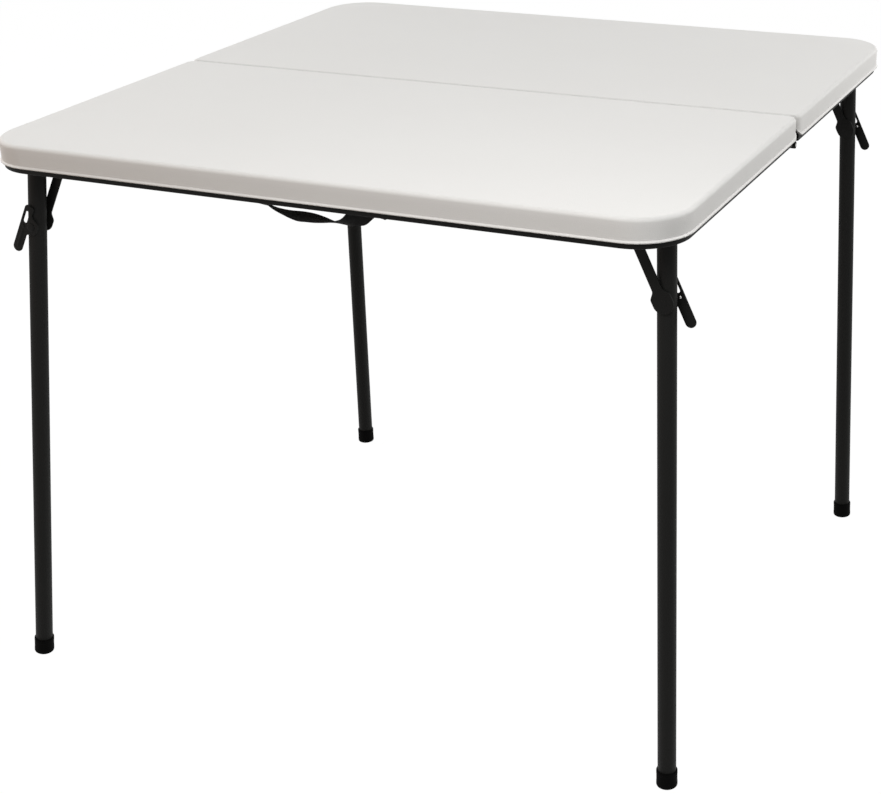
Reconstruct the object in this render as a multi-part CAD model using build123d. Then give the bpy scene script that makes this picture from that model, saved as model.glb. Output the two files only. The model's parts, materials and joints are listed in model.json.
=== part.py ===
"""Folding card table: two moulded halves on steel rails, four folding legs, fold-in-half hinge.

Lengths are millimetres and angles are degrees.
World frame: X along the seam, Y across it, Z up from the floor.
Half frame: the seam runs along X at y = 0 and the half lies on the +Y side.
Leg frame: the pivot is at the origin, +X points to the middle of the table, +Y to the arm's side.
"""
import os
from math import acos, cos, degrees, hypot, radians, sin

from build123d import *

os.makedirs("parts", exist_ok=True)

# Table as a whole
SIDE = 864.0
HEIGHT = 716.0
SEAM_GAP = 0.8

# Moulded half panel
RIM_DEPTH = 27.5
PLATE = 9.0
RIM_WALL = 3.2
LIP_OUT = 0.8
LIP_DEPTH = 3.0
CORNER_R = 62.0
SEAM_CORNER_R = 12.0
TOP_EDGE_R = 8.5
SEAM_BEVEL = 1.4
SEAM_END_R = 19.0
SEAM_END_LONG = 26.0
DIMPLE_LONG = 17.0
DIMPLE_WIDE = 8.0
DIMPLE_DEEP = 4.5
DIMPLE_ROW_PITCH = 52.0
DIMPLE_COLUMN_PITCH = 66.0
DIMPLE_FIRST_ROW = 52.0
DIMPLE_SIDE_MARGIN = 60.0
DIMPLE_END_MARGIN = 80.0

# Steel rail and cross rail
RAIL_PLAY = 0.3
RAIL_WIDE = 14.0
RAIL_WALL = 1.2
RAIL_DROP = 6.0
RAIL_START = 13.0
CROSS_WIDE = 14.0
CROSS_TALL = 18.0
CROSS_LIFT = 3.5
CROSS_START = 18.0

# Seam hinge
HINGE_GAP = 2.5
LEAF_THICK = 2.5
LEAF_LONG = 32.0
LEAF_FOOT = 2.0
LEAF_TALL = 19.0
LEAF_NECK = 5.5
LEAF_EYE_R = 6.0
LEAF_PLAY = 0.3
BARREL_R = 4.5
SEAM_PIN_R = 2.5
SEAM_PIN_HEAD_R = 4.5
SEAM_PIN_HEAD = 1.6
RUNNING_PLAY = 0.08

# Legs
LEG_FROM_RAIL = 21.7
OUTER_LEG_FROM_RAIL = 38.2
LEG_STAGGER = 30.0
LEG_R = 10.8
LEG_WALL = 1.2
LEG_TOP = 5.0
NEAR_LEAN_ANGLES = {"right": 0.0, "left": 6.5}
FAR_LEAN_ANGLES = {"left": 0.0, "right": 1.0}
COLLAR_R = 12.2
COLLAR_FROM = 12.6
COLLAR_LONG = 3.8
COLLAR_EDGE = 0.7
CAP_R = 12.4
CAP_TALL = 21.0
CAP_SOLE = 5.0
CAP_SOLE_R = 4.0
CAP_LIP = 0.7
CAP_SOLE_STEPS = 3

# Pivot bracket
CHEEK_PLAY = 0.5
CHEEK_THICK = 2.0
CHEEK_R = 11.5
CHEEK_HEADROOM = 1.5
BACK_THICK = 6.0
PIVOT_PIN_R = 3.0
PIVOT_HEAD_R = 5.0
PIVOT_HEAD = 1.6

# Brace arm, lever and their shaft
SHAFT_DROP = 94.0
SHAFT_R = 3.5
SHAFT_HEAD_R = 5.5
SHAFT_HEAD = 1.4
BOSS_R = 12.0
ARM_REACH = 45.0
ARM_RISE = 5.0
ARM_WIDE = 12.0
SLIDE_PIN_R = 2.0
SLIDE_PIN_SPARE = 0.3
LEVER_BOSS_R = 9.5
LEVER_OUT = 15.5
LEVER_WIDE = 12.8
LEVER_UP = 25.0
LEVER_DOWN = 40.0
LEVER_CORNER_R = 4.0
LEVER_POCKET_PLAY = 0.8
WINDOW_OUT = 9.7
WINDOW_UP = 9.0
WINDOW_LONG = 16.5
WINDOW_WIDE = 5.6

# Slide track of the brace
TRACK_PLAY = 0.5
TRACK_THICK = 2.0
TRACK_WALL = 3.4
TRACK_END = 7.0
TRACK_ROOT = 3.0
SLOT_PLAY = 0.1
SLOT_STEPS = 14
FOLDED = 90.0

# Carry strap: shares of its reach along the rail, its bow, its sag and a quarter turn
STRAP_WIDE = 20.0
STRAP_THICK = 1.5
STRAP_REACH = 120.0
STRAP_BOW = 11.5
STRAP_SAG = 33.0
STRAP_SHARES = (
    (-1.0, 0.0, 0.0, 1.0),
    (-0.82, 0.0, 0.02, 1.0),
    (-0.7, 0.09, 0.2, 1.0),
    (-0.57, 0.43, 0.58, 0.96),
    (-0.47, 0.65, 0.69, 0.89),
    (-0.39, 0.78, 0.81, 0.69),
    (-0.32, 0.87, 0.95, 0.38),
    (-0.18, 0.96, 1.0, 0.17),
    (-0.07, 1.0, 0.98, 0.0),
    (0.03, 1.0, 0.95, -0.1),
    (0.14, 0.96, 0.93, -0.13),
    (0.28, 0.91, 0.85, 0.06),
    (0.39, 0.83, 0.74, 0.22),
    (0.48, 0.74, 0.58, 0.42),
    (0.6, 0.57, 0.39, 0.67),
    (0.73, 0.26, 0.24, 0.87),
    (0.87, 0.0, 0.12, 1.0),
    (1.0, 0.0, 0.0, 1.0),
)
STRAP_END = 10.5
RIVET_R = 2.0
RIVET_HEAD_R = 5.0
RIVET_HEAD = 1.3

# Sizes that follow from the ones above
REACH = SIDE / 2
RIM_Z = HEIGHT - RIM_DEPTH
CEILING_Z = HEIGHT - PLATE
RAIL_Z = RIM_Z - RAIL_DROP
HINGE_HEIGHT = RIM_Z - HINGE_GAP - LEAF_EYE_R
PIVOT_HEIGHT = CEILING_Z - CHEEK_HEADROOM - CHEEK_R
RAIL_INSET = LIP_OUT + RIM_WALL + RAIL_PLAY
RAIL_FACE = REACH - RAIL_INSET - RAIL_WIDE
LEG_X = RAIL_FACE - LEG_FROM_RAIL
LEG_Y_OUTER = RAIL_FACE - OUTER_LEG_FROM_RAIL
LEG_Y_INNER = LEG_Y_OUTER - LEG_STAGGER
RIVET_X = STRAP_REACH - STRAP_END
PLATE_Q = LEG_R + CHEEK_PLAY
PLATE_OUT_Q = PLATE_Q + CHEEK_THICK
TRACK_Q = PLATE_OUT_Q + TRACK_PLAY
ARM_LONG = hypot(ARM_REACH, SHAFT_DROP + ARM_RISE)
HALF_SPOTS = {"left": (-LEG_X, LEG_Y_INNER, 0.0), "right": (LEG_X, LEG_Y_OUTER, 180.0)}


def foot_reach(lean):
    """Length from the pivot to the sole, so that the tilted sole still touches the floor."""
    slope = radians(lean)
    flat_r = CAP_R - CAP_SOLE_R
    return CAP_SOLE_R + (PIVOT_HEIGHT - CAP_SOLE_R - flat_r * sin(slope)) / cos(slope)


def leaning_reach(lean):
    """How far the foot of a leaning leg reaches out past its pivot."""
    slope = radians(lean)
    return (foot_reach(lean) - CAP_SOLE_R) * sin(slope) + (CAP_R - CAP_SOLE_R) * cos(slope) + CAP_SOLE_R


def side_reach(side):
    """How far the table reaches out to one side, at its rim or at a leaning foot."""
    feet = [LEG_X + leaning_reach(leans[side]) for leans in (NEAR_LEAN_ANGLES, FAR_LEAN_ANGLES)]
    return max(REACH, *feet)


CENTRE = Pos((side_reach("left") - side_reach("right")) / 2, 0, 0)
HALVES = {"near": CENTRE * Rot(0, 0, 180), "far": CENTRE}


def save(name, shape, place):
    """Write one node, put in its place in the world frame."""
    moved = place * shape
    solids = moved.solids()
    out = solids[0] if len(solids) == 1 else Compound(children=list(solids))
    out.label = name
    export_step(out, f"parts/{name}.step")
    print(name, len(solids))


def box(x0, x1, y0, y1, z0, z1):
    """Block between two corners."""
    size = Box(x1 - x0, y1 - y0, z1 - z0)
    return Pos((x0 + x1) / 2, (y0 + y1) / 2, (z0 + z1) / 2) * size


def rod(radius, y0, y1, x=0.0, z=0.0):
    """Round bar along Y."""
    return Pos(x, (y0 + y1) / 2, z) * Rot(90, 0, 0) * Cylinder(radius, y1 - y0)


def plate(face, y0, y1):
    """Sheet cut to a face drawn in X and Z, from y0 to y1."""
    return Pos(0, y1, 0) * Rot(90, 0, 0) * extrude(face, y1 - y0)


def disc(radius, x=0.0, z=0.0):
    """Round face at a point."""
    return Pos(x, z) * Circle(radius)


def half_plan(inset, near, near_r=0.0):
    """Plan of one half: inset from the rim, starting at y = near, with rounded corners."""
    edge = REACH - inset
    sheet = Pos(0, (near + edge) / 2) * Rectangle(2 * edge, edge - near)
    sheet = fillet(sheet.vertices().sort_by(Axis.Y)[-2:], CORNER_R - inset)
    if near_r > 0:
        sheet = fillet(sheet.vertices().sort_by(Axis.Y)[:2], near_r)
    return sheet


def ring_plan(outside, inside, near):
    """Plan of a U-shaped band between two insets, open towards the seam."""
    return half_plan(outside, near) - half_plan(inside, near - RAIL_WIDE)


def panel():
    """Moulded half: a plate with a rim skirt, rounded top edge, lip bead and underside dimples."""
    start = SEAM_GAP / 2
    shell = Pos(0, 0, RIM_Z) * extrude(half_plan(LIP_OUT, -2 * TOP_EDGE_R), RIM_DEPTH)
    top_edges = shell.faces().sort_by(Axis.Z)[-1].edges().sort_by(Axis.Y)[1:]
    shell = fillet(top_edges, TOP_EDGE_R)
    shell += Pos(0, 0, RIM_Z) * extrude(half_plan(0, -2 * TOP_EDGE_R), LIP_DEPTH)
    shell -= box(-SIDE, SIDE, -SIDE, start, 0, 2 * HEIGHT)
    inside = half_plan(LIP_OUT + RIM_WALL, start + RIM_WALL, SEAM_CORNER_R - RIM_WALL)
    shell -= Pos(0, 0, 0) * extrude(inside, CEILING_Z)
    for way in (-1, 1):
        corner = Pos(way * (REACH - SEAM_CORNER_R), start + SEAM_CORNER_R)
        keep = corner * Circle(SEAM_CORNER_R)
        square = Pos(way * (REACH - SEAM_CORNER_R / 2), start + SEAM_CORNER_R / 2)
        square = square * Rectangle(SEAM_CORNER_R, SEAM_CORNER_R)
        shell -= extrude(square - keep, 2 * HEIGHT)
    bevel = Pos(0, start, HEIGHT) * Rot(45, 0, 0) * Box(2 * SIDE, SEAM_BEVEL, SEAM_BEVEL)
    shell -= bevel
    shell -= seam_end_cuts(start)
    rows = int((REACH - DIMPLE_END_MARGIN - DIMPLE_FIRST_ROW) / DIMPLE_ROW_PITCH) + 1
    columns = int(2 * (REACH - DIMPLE_SIDE_MARGIN) / DIMPLE_COLUMN_PITCH) + 1
    first_x = -(columns - 1) * DIMPLE_COLUMN_PITCH / 2
    cutters = []
    for row in range(rows):
        y = DIMPLE_FIRST_ROW + row * DIMPLE_ROW_PITCH
        for column in range(columns):
            x = first_x + column * DIMPLE_COLUMN_PITCH
            turn = Rot(0, 0, 90 * ((row + column) % 2))
            cutters.append(Pos(x, y, CEILING_Z) * turn * Box(DIMPLE_LONG, DIMPLE_WIDE, 2 * DIMPLE_DEEP))
    shell -= cutters
    return shell


def seam_end_cuts(start):
    """Cuts that round the skirt's lower corner at both ends of the seam, clear of the hinge."""
    corner = Pos(start + SEAM_END_R, RIM_Z + SEAM_END_R)
    square = Pos(start, RIM_Z) * Rectangle(2 * SEAM_END_R, 2 * SEAM_END_R)
    sliver = square - corner * Circle(SEAM_END_R)
    cut = along_x(sliver, REACH - SEAM_END_LONG, REACH + SEAM_END_LONG)
    return [cut, mirror(cut, Plane.YZ)]


def leg_recesses(spot, lean):
    """Cuts a leg asks of the panel: a groove for its track and a pocket for its folded lever."""
    fold = radians(brace_angles(lean)[1])
    top = LEVER_OUT * sin(fold) + LEVER_UP * cos(fold) + LEVER_POCKET_PLAY
    first = SHAFT_DROP - LEVER_DOWN - LEVER_POCKET_PLAY
    last = SHAFT_DROP + LEVER_UP + LEVER_POCKET_PLAY
    near = -PLATE_OUT_Q - SHAFT_HEAD - LEVER_POCKET_PLAY
    pocket = box(first, last, near, LEVER_POCKET_PLAY - PLATE_Q, 0, top)
    return half_spot(spot) * Compound(children=[track_blank(lean), pocket])


def rail(with_strap):
    """U-shaped rectangular tube inside the rim, open at its two ends by the seam."""
    tall = CEILING_Z - RAIL_Z
    outside = RAIL_INSET + RAIL_WIDE
    tube = extrude(ring_plan(RAIL_INSET, outside, RAIL_START), tall)
    bore = ring_plan(RAIL_INSET + RAIL_WALL, outside - RAIL_WALL, RAIL_START - RAIL_WIDE / 2)
    tube -= Pos(0, 0, RAIL_WALL) * extrude(bore, tall - 2 * RAIL_WALL)
    tube = Pos(0, 0, RAIL_Z) * tube
    if with_strap:
        for x in (-RIVET_X, RIVET_X):
            tube -= rod(RIVET_R, RAIL_FACE - RAIL_WALL, RAIL_FACE + RAIL_WALL, x, PIVOT_HEIGHT)
    return tube


def cross_rail(end_gap):
    """Straight tube between the hinge leaves, close to the seam."""
    half = RAIL_FACE - end_gap
    low = RAIL_Z + CROSS_LIFT
    tube = box(-half, half, CROSS_START, CROSS_START + CROSS_WIDE, low, low + CROSS_TALL)
    inner = box(-half, half, CROSS_START + RAIL_WALL, CROSS_START + CROSS_WIDE - RAIL_WALL,
                low + RAIL_WALL, low + CROSS_TALL - RAIL_WALL)
    return tube - inner


def seam_rod(radius, x0, x1):
    """Round bar along the seam axis."""
    return Pos((x0 + x1) / 2, 0, HINGE_HEIGHT) * Rot(0, 90, 0) * Cylinder(radius, x1 - x0)


def leaf_profile():
    """Outline of a hinge leaf in Y and Z: eye on the axis, neck under the rim, plate on the rail."""
    foot = RAIL_Z + LEAF_FOOT
    eye = Pos(0, HINGE_HEIGHT) * Circle(LEAF_EYE_R)
    neck = Pos(RAIL_START + LEAF_NECK / 2, foot + LEAF_NECK / 2) * Rectangle(LEAF_NECK, LEAF_NECK)
    wing = Pos(RAIL_START + LEAF_LONG / 2, foot + LEAF_TALL / 2) * Rectangle(LEAF_LONG, LEAF_TALL)
    return make_hull((eye + neck).edges()) + wing


def along_x(face, x0, x1):
    """Sheet cut to a face drawn in Y and Z, from x0 to x1."""
    return Plane.YZ.offset(x0) * extrude(face, x1 - x0)


def hinge_leaves(outer):
    """Pair of leaves of one half: the outer pair carries the barrels, the inner pair is joggled."""
    start = RAIL_FACE - LEAF_THICK
    if outer:
        leaf = along_x(leaf_profile(), start, RAIL_FACE)
        leaf += seam_rod(BARREL_R, RAIL_FACE, REACH - RAIL_INSET - LEAF_PLAY)
    else:
        start -= LEAF_THICK + LEAF_PLAY
        leaf = along_x(leaf_profile(), start, start + LEAF_THICK)
        leaf += box(start, RAIL_FACE, RAIL_START, RAIL_START + LEAF_LONG,
                    RAIL_Z + LEAF_FOOT, RAIL_Z + LEAF_FOOT + LEAF_TALL)
    leaf -= seam_rod(SEAM_PIN_R + RUNNING_PLAY, 0, SIDE)
    return Compound(children=[leaf.solid(), mirror(leaf, Plane.YZ).solid()])


def seam_pins():
    """Two headed pins on the seam axis, one at each end."""
    inner = RAIL_FACE - 2 * LEAF_THICK - 2 * LEAF_PLAY
    outer = REACH - RAIL_INSET
    pin = seam_rod(SEAM_PIN_R, inner, outer)
    pin += seam_rod(SEAM_PIN_HEAD_R, inner - SEAM_PIN_HEAD, inner)
    pin += seam_rod(SEAM_PIN_HEAD_R, outer, outer + SEAM_PIN_HEAD)
    return Compound(children=[pin.solid(), mirror(pin, Plane.YZ).solid()])


def half_spot(spot):
    """Place of a leg frame in the half frame."""
    x, y, turn = HALF_SPOTS[spot]
    return Pos(x, y, PIVOT_HEIGHT) * Rot(0, 0, turn)


def leg_tube(lean):
    """Round leg tube with cross holes for the pivot pin and the brace shaft."""
    low = foot_reach(lean) - CAP_SOLE
    middle = Pos(0, 0, (LEG_TOP - low) / 2)
    tube = middle * Cylinder(LEG_R, LEG_TOP + low)
    tube -= middle * Cylinder(LEG_R - LEG_WALL, LEG_TOP + low)
    tube -= rod(PIVOT_PIN_R + RUNNING_PLAY, -CAP_R, CAP_R)
    tube -= rod(SHAFT_R + RUNNING_PLAY, -CAP_R, CAP_R, 0, -SHAFT_DROP)
    return Rot(0, lean, 0) * tube


def collar(lean):
    """Ferrule pressed over the leg just under its bracket."""
    ring = Cylinder(COLLAR_R, COLLAR_LONG) - Cylinder(LEG_R, COLLAR_LONG)
    ring = chamfer(ring.edges().filter_by(GeomType.CIRCLE).sort_by(SortBy.RADIUS)[-2:], COLLAR_EDGE)
    return Rot(0, lean, 0) * Pos(0, 0, -COLLAR_FROM - COLLAR_LONG / 2) * ring


def foot_cap(lean):
    """Moulded cap over the end of the leg, turned from a profile with a rounded sole."""
    low = foot_reach(lean)
    profile = [(0, CAP_SOLE), (0, 0)]
    for step in range(CAP_SOLE_STEPS + 1):
        turn = radians(90 * step / CAP_SOLE_STEPS)
        profile.append((CAP_R - CAP_SOLE_R + CAP_SOLE_R * sin(turn), CAP_SOLE_R - CAP_SOLE_R * cos(turn)))
    profile += [(CAP_R, CAP_TALL - CAP_LIP), (CAP_R - CAP_LIP, CAP_TALL)]
    profile += [(LEG_R, CAP_TALL), (LEG_R, CAP_SOLE)]
    section = make_face(Polyline(*profile, close=True))
    cap = revolve(Plane.XZ * section, Axis.Z)
    return Rot(0, lean, 0) * Pos(0, 0, -low) * cap


def bracket(spot):
    """U-shaped bracket: a back plate shaped to the rail and two cheeks beside the leg."""
    back = RAIL_FACE - LEG_X
    shape = box(-back, BACK_THICK - back, -PLATE_OUT_Q, PLATE_OUT_Q, -CHEEK_R, CHEEK_R)
    side = disc(CHEEK_R) + Pos(-back / 2, 0) * Rectangle(back, 2 * CHEEK_R)
    shape += plate(side, PLATE_Q, PLATE_OUT_Q)
    shape += plate(side, -PLATE_OUT_Q, -PLATE_Q)
    shape -= rod(PIVOT_PIN_R, -CAP_R * 2, CAP_R * 2)
    band = extrude(ring_plan(RAIL_INSET, RAIL_INSET + RAIL_WIDE, RAIL_START), HEIGHT)
    return shape - half_spot(spot).inverse() * band


def pivot_pin():
    """Headed pin through the bracket and the leg."""
    pin = rod(PIVOT_PIN_R, -PLATE_OUT_Q, PLATE_OUT_Q)
    pin += rod(PIVOT_HEAD_R, PLATE_OUT_Q, PLATE_OUT_Q + PIVOT_HEAD)
    return pin + rod(PIVOT_HEAD_R, -PLATE_OUT_Q - PIVOT_HEAD, -PLATE_OUT_Q)


def brace_angles(lean):
    """Angle of the brace arm from upright, with the leg down and with the leg folded."""
    down = degrees(acos((ARM_RISE + SHAFT_DROP * cos(radians(lean))) / ARM_LONG))
    return down, degrees(acos(ARM_RISE / ARM_LONG))


def brace_place(lean):
    """Place of the brace in the leg frame: its shaft, turned to the arm's direction."""
    slope = radians(lean)
    spot = Pos(-SHAFT_DROP * sin(slope), 0, -SHAFT_DROP * cos(slope))
    return spot * Rot(0, brace_angles(lean)[0], 0)


def brace_arm():
    """Flat arm from the shaft up to the slide pin, with the pin riveted in."""
    bar = disc(BOSS_R) + Pos(0, ARM_LONG / 2) * Rectangle(ARM_WIDE, ARM_LONG)
    bar += disc(ARM_WIDE / 2, 0, ARM_LONG)
    arm = plate(bar - disc(SHAFT_R) - disc(SLIDE_PIN_R, 0, ARM_LONG), PLATE_Q, PLATE_OUT_Q)
    return arm


def slide_pin():
    """Pin at the arm's end that runs in the track."""
    out = TRACK_Q + TRACK_THICK + SLIDE_PIN_SPARE
    return rod(SLIDE_PIN_R, PLATE_Q, out, 0, ARM_LONG)


def lever():
    """Release lever on the other side of the leg: a boss, an offset blade and a see-through slot."""
    across = LEVER_WIDE / 2 - LEVER_OUT
    tip = LEVER_WIDE / 2 - LEVER_DOWN
    blade = Pos(across, (LEVER_UP + tip) / 2) * Rectangle(LEVER_WIDE, LEVER_UP - tip)
    blade = fillet(blade.vertices().sort_by(Axis.Y)[-2:], LEVER_CORNER_R)
    blade += disc(LEVER_WIDE / 2, across, tip)
    slot = Pos(-WINDOW_OUT, WINDOW_UP) * Rot(0, 0, 90) * SlotOverall(WINDOW_LONG, WINDOW_WIDE)
    face = blade + disc(LEVER_BOSS_R) - slot - disc(SHAFT_R)
    return plate(face, -PLATE_OUT_Q, -PLATE_Q)


def brace_shaft():
    """Shaft through the leg that ties the arm and the lever together."""
    shaft = rod(SHAFT_R, -PLATE_OUT_Q, PLATE_OUT_Q)
    return shaft + rod(SHAFT_HEAD_R, -PLATE_OUT_Q - SHAFT_HEAD, -PLATE_OUT_Q)


def slide_path(lean):
    """Points of the slide pin as the leg folds and the brace turns in step with it."""
    first, last = brace_angles(lean)
    points = []
    for step in range(SLOT_STEPS + 1):
        part = step / SLOT_STEPS
        leg = radians(part * (FOLDED + lean) - lean)
        arm = radians(first + part * (last - first))
        x = SHAFT_DROP * sin(leg) + ARM_LONG * sin(arm)
        z = ARM_LONG * cos(arm) - SHAFT_DROP * cos(leg)
        points.append((x, z))
    return points


def beside(points, gap):
    """Points moved sideways from a path by a gap."""
    moved = []
    for index, (x, z) in enumerate(points):
        ahead = points[min(index + 1, len(points) - 1)]
        behind = points[max(index - 1, 0)]
        run = hypot(ahead[0] - behind[0], ahead[1] - behind[1])
        moved.append((x - gap * (ahead[1] - behind[1]) / run, z + gap * (ahead[0] - behind[0]) / run))
    return moved


def band(points, gap):
    """Face of constant width along a path, with round ends."""
    upper = beside(points, gap)
    lower = beside(points, -gap)
    sides = Spline(*upper) + Spline(*lower)
    ends = Line(upper[0], lower[0]) + Line(upper[-1], lower[-1])
    return make_face(sides + ends) + disc(gap, *points[0]) + disc(gap, *points[-1])


def track_blank(lean):
    """Track plate before its slot is cut: hangs from a groove in the panel's underside."""
    points = slide_path(lean)
    low = min(z for x, z in points) - SLIDE_PIN_R - SLOT_PLAY - TRACK_WALL
    top = CEILING_Z - PIVOT_HEIGHT + TRACK_ROOT
    left = points[0][0] - TRACK_END
    right = points[-1][0] + TRACK_END
    sheet = Pos((left + right) / 2, (low + top) / 2) * Rectangle(right - left, top - low)
    sheet = fillet(sheet.vertices().sort_by(Axis.Y)[:2], TRACK_END / 2)
    return plate(sheet, TRACK_Q, TRACK_Q + TRACK_THICK)


def track(lean):
    """Track plate with the curved slot that guides the slide pin."""
    slot = band(slide_path(lean), SLIDE_PIN_R + SLOT_PLAY)
    return track_blank(lean) - plate(slot, TRACK_Q - TRACK_THICK, TRACK_Q + 2 * TRACK_THICK)


def strap_sections():
    """Cross-sections of the strap along its drooping, turning path."""
    sections = []
    for along, inward, drop, turned in STRAP_SHARES:
        out = RAIL_FACE - STRAP_THICK / 2 - inward * STRAP_BOW
        spot = (along * STRAP_REACH, out, PIVOT_HEIGHT - drop * STRAP_SAG)
        tilt = radians(90 * turned)
        width = (0, cos(tilt), sin(tilt))
        sections.append(Plane(origin=spot, x_dir=width, z_dir=(1, 0, 0)) * Rectangle(STRAP_WIDE, STRAP_THICK))
    return sections


def strap():
    """Woven carry strap: a turned ribbon with both ends flat on the rail."""
    ribbon = loft(strap_sections(), ruled=True)
    for x in (-RIVET_X, RIVET_X):
        ribbon -= rod(RIVET_R, RAIL_FACE - STRAP_WIDE, RAIL_FACE + RAIL_WALL, x, PIVOT_HEIGHT)
    return ribbon


def strap_rivets():
    """Headed rivets that hold the strap's two ends to the rail."""
    face = RAIL_FACE - STRAP_THICK
    rivets = []
    for x in (-RIVET_X, RIVET_X):
        rivet = rod(RIVET_R, face, RAIL_FACE + RAIL_WALL, x, PIVOT_HEIGHT)
        rivets.append((rivet + rod(RIVET_HEAD_R, face - RIVET_HEAD, face, x, PIVOT_HEIGHT)).solid())
    return Compound(children=rivets)


# Halves: the near half is the far half turned half a turn about the middle of the table
blank_panel = panel()
for side, place in HALVES.items():
    near = side == "near"
    leans = FAR_LEAN_ANGLES
    if near:
        leans = {"right": NEAR_LEAN_ANGLES["left"], "left": NEAR_LEAN_ANGLES["right"]}
    half_panel = blank_panel
    for spot, lean in leans.items():
        half_panel -= leg_recesses(spot, lean)
    save(f"{side}_panel", half_panel, place)
    save(f"{side}_rail", rail(near), place)
    save(f"{side}_cross_rail", cross_rail(LEAF_THICK if near else 2 * LEAF_THICK + LEAF_PLAY), place)
    save(f"{side}_hinge_leaves", hinge_leaves(near), place)
save("seam_pins", seam_pins(), CENTRE)
save("carry_strap", strap(), HALVES["near"])
save("strap_rivets", strap_rivets(), HALVES["near"])

# Legs: one leg frame, used four times
LEGS = {
    "near_left": ("near", "right", NEAR_LEAN_ANGLES["left"]),
    "near_right": ("near", "left", NEAR_LEAN_ANGLES["right"]),
    "far_right": ("far", "right", FAR_LEAN_ANGLES["right"]),
    "far_left": ("far", "left", FAR_LEAN_ANGLES["left"]),
}
for name, (side, spot, lean) in LEGS.items():
    leg = HALVES[side] * half_spot(spot)
    brace = leg * brace_place(lean)
    save(f"{name}_bracket", bracket(spot), leg)
    save(f"{name}_pivot_pin", pivot_pin(), leg)
    save(f"{name}_track", track(lean), leg)
    save(f"{name}_leg_tube", leg_tube(lean), leg)
    save(f"{name}_collar", collar(lean), leg)
    save(f"{name}_foot_cap", foot_cap(lean), leg)
    save(f"{name}_brace_arm", brace_arm(), brace)
    save(f"{name}_slide_pin", slide_pin(), brace)
    save(f"{name}_lever", lever(), brace)
    save(f"{name}_brace_shaft", brace_shaft(), brace)
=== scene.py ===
# %% [markdown]
# # A folding card table, dressed for the camera
# A card table has a blow-moulded top in two halves. Each half hangs on a black steel rail, and four
# round legs fold up under it. The mechanism comes from a solid model that is already at its real
# size, so this file only adds what the eye looks for: soft edges, grain, paint and woven cloth.
# Every new piece is a surface worked out from a formula, on the body that it moves with.

# %% Load the frame
import json
import math

import bmesh
import bpy
import numpy as np
from mathutils import Matrix, Vector
from mathutils.geometry import tessellate_polygon
from mathutils.kdtree import KDTree


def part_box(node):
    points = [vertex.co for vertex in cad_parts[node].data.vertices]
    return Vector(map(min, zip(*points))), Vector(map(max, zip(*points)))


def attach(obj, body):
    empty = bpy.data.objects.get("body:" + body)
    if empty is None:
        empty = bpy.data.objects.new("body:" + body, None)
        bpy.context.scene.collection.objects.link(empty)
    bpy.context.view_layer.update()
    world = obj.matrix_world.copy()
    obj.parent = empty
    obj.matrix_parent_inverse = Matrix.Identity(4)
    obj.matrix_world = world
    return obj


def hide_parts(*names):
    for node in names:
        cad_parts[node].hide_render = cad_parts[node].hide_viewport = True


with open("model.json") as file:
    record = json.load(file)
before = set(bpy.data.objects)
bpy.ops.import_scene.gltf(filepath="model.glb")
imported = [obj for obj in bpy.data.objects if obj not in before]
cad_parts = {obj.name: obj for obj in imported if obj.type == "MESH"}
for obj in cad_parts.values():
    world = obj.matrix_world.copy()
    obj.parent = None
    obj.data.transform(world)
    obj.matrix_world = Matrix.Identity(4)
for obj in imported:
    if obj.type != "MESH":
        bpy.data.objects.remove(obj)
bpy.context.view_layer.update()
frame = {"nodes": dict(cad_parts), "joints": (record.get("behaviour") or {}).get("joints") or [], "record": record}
MM = 0.001

# %% [markdown]
# The sizes that a skin must meet are read from the solid model, so that a skin fits what it covers.
# Each half of the top has its own plan, with u along the seam and v away from it. The near half is
# the far half turned half a turn about the middle of the table.

# %% Read the sizes that the skins have to meet
panel_low, panel_high = (np.array(corner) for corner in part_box("far_panel"))
rail_low, rail_high = (np.array(corner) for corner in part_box("far_rail"))
CENTRE_X = (panel_low[0] + panel_high[0]) / 2
REACH = (panel_high[0] - panel_low[0]) / 2
START = panel_low[1]
TOP_Z = panel_high[2]
RIM_Z = panel_low[2]
CEILING_Z = rail_high[2]
RAIL_Z = rail_low[2]
RAIL_INSET = panel_high[0] - rail_high[0]
RAIL_START = rail_low[1]
joints = {joint["name"]: joint for joint in frame["joints"]}
print(f"half width {REACH:.4f} m, top {TOP_Z:.4f} m, rim {RIM_Z:.4f} m, rail from {RAIL_Z:.4f} m")

# %% [markdown]
# A few helpers make every mesh here. A grid of points becomes quads, a mesh is closed and turned
# outwards, and a finished piece is given its finish and the body that it rides on. Doubles are
# merged before the faces are turned, so that no seam or pole stays open.

# %% Helpers that turn arrays of points into pieces
SHARP_ANGLE = math.radians(38)
MERGE_REACH = 1e-7


def grid_faces(rows, columns, close_rows=False, close_columns=False):
    """Quads between neighbours of a grid whose point (i, j) has number i * columns + j."""
    i = np.arange(rows if close_rows else rows - 1)[:, None]
    j = np.arange(columns if close_columns else columns - 1)[None, :]
    next_i = (i + 1) % rows
    next_j = (j + 1) % columns
    corners = (i * columns + j, i * columns + next_j, next_i * columns + next_j, next_i * columns + j)
    quads = np.stack(np.broadcast_arrays(*corners), axis=-1)
    return quads.reshape(-1, 4).tolist()


def end_caps(rows, columns):
    """Faces that close the first and the last row of a grid."""
    return [list(range(columns)), list(range((rows - 1) * columns, rows * columns))]


def join(*parts):
    """Points and faces of several parts put one after another."""
    points = []
    faces = []
    total = 0
    for part_points, part_faces in parts:
        flat = np.asarray(part_points, float).reshape(-1, 3)
        faces += [[index + total for index in face] for face in part_faces]
        points.append(flat)
        total += len(flat)
    return np.concatenate(points), faces


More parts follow.
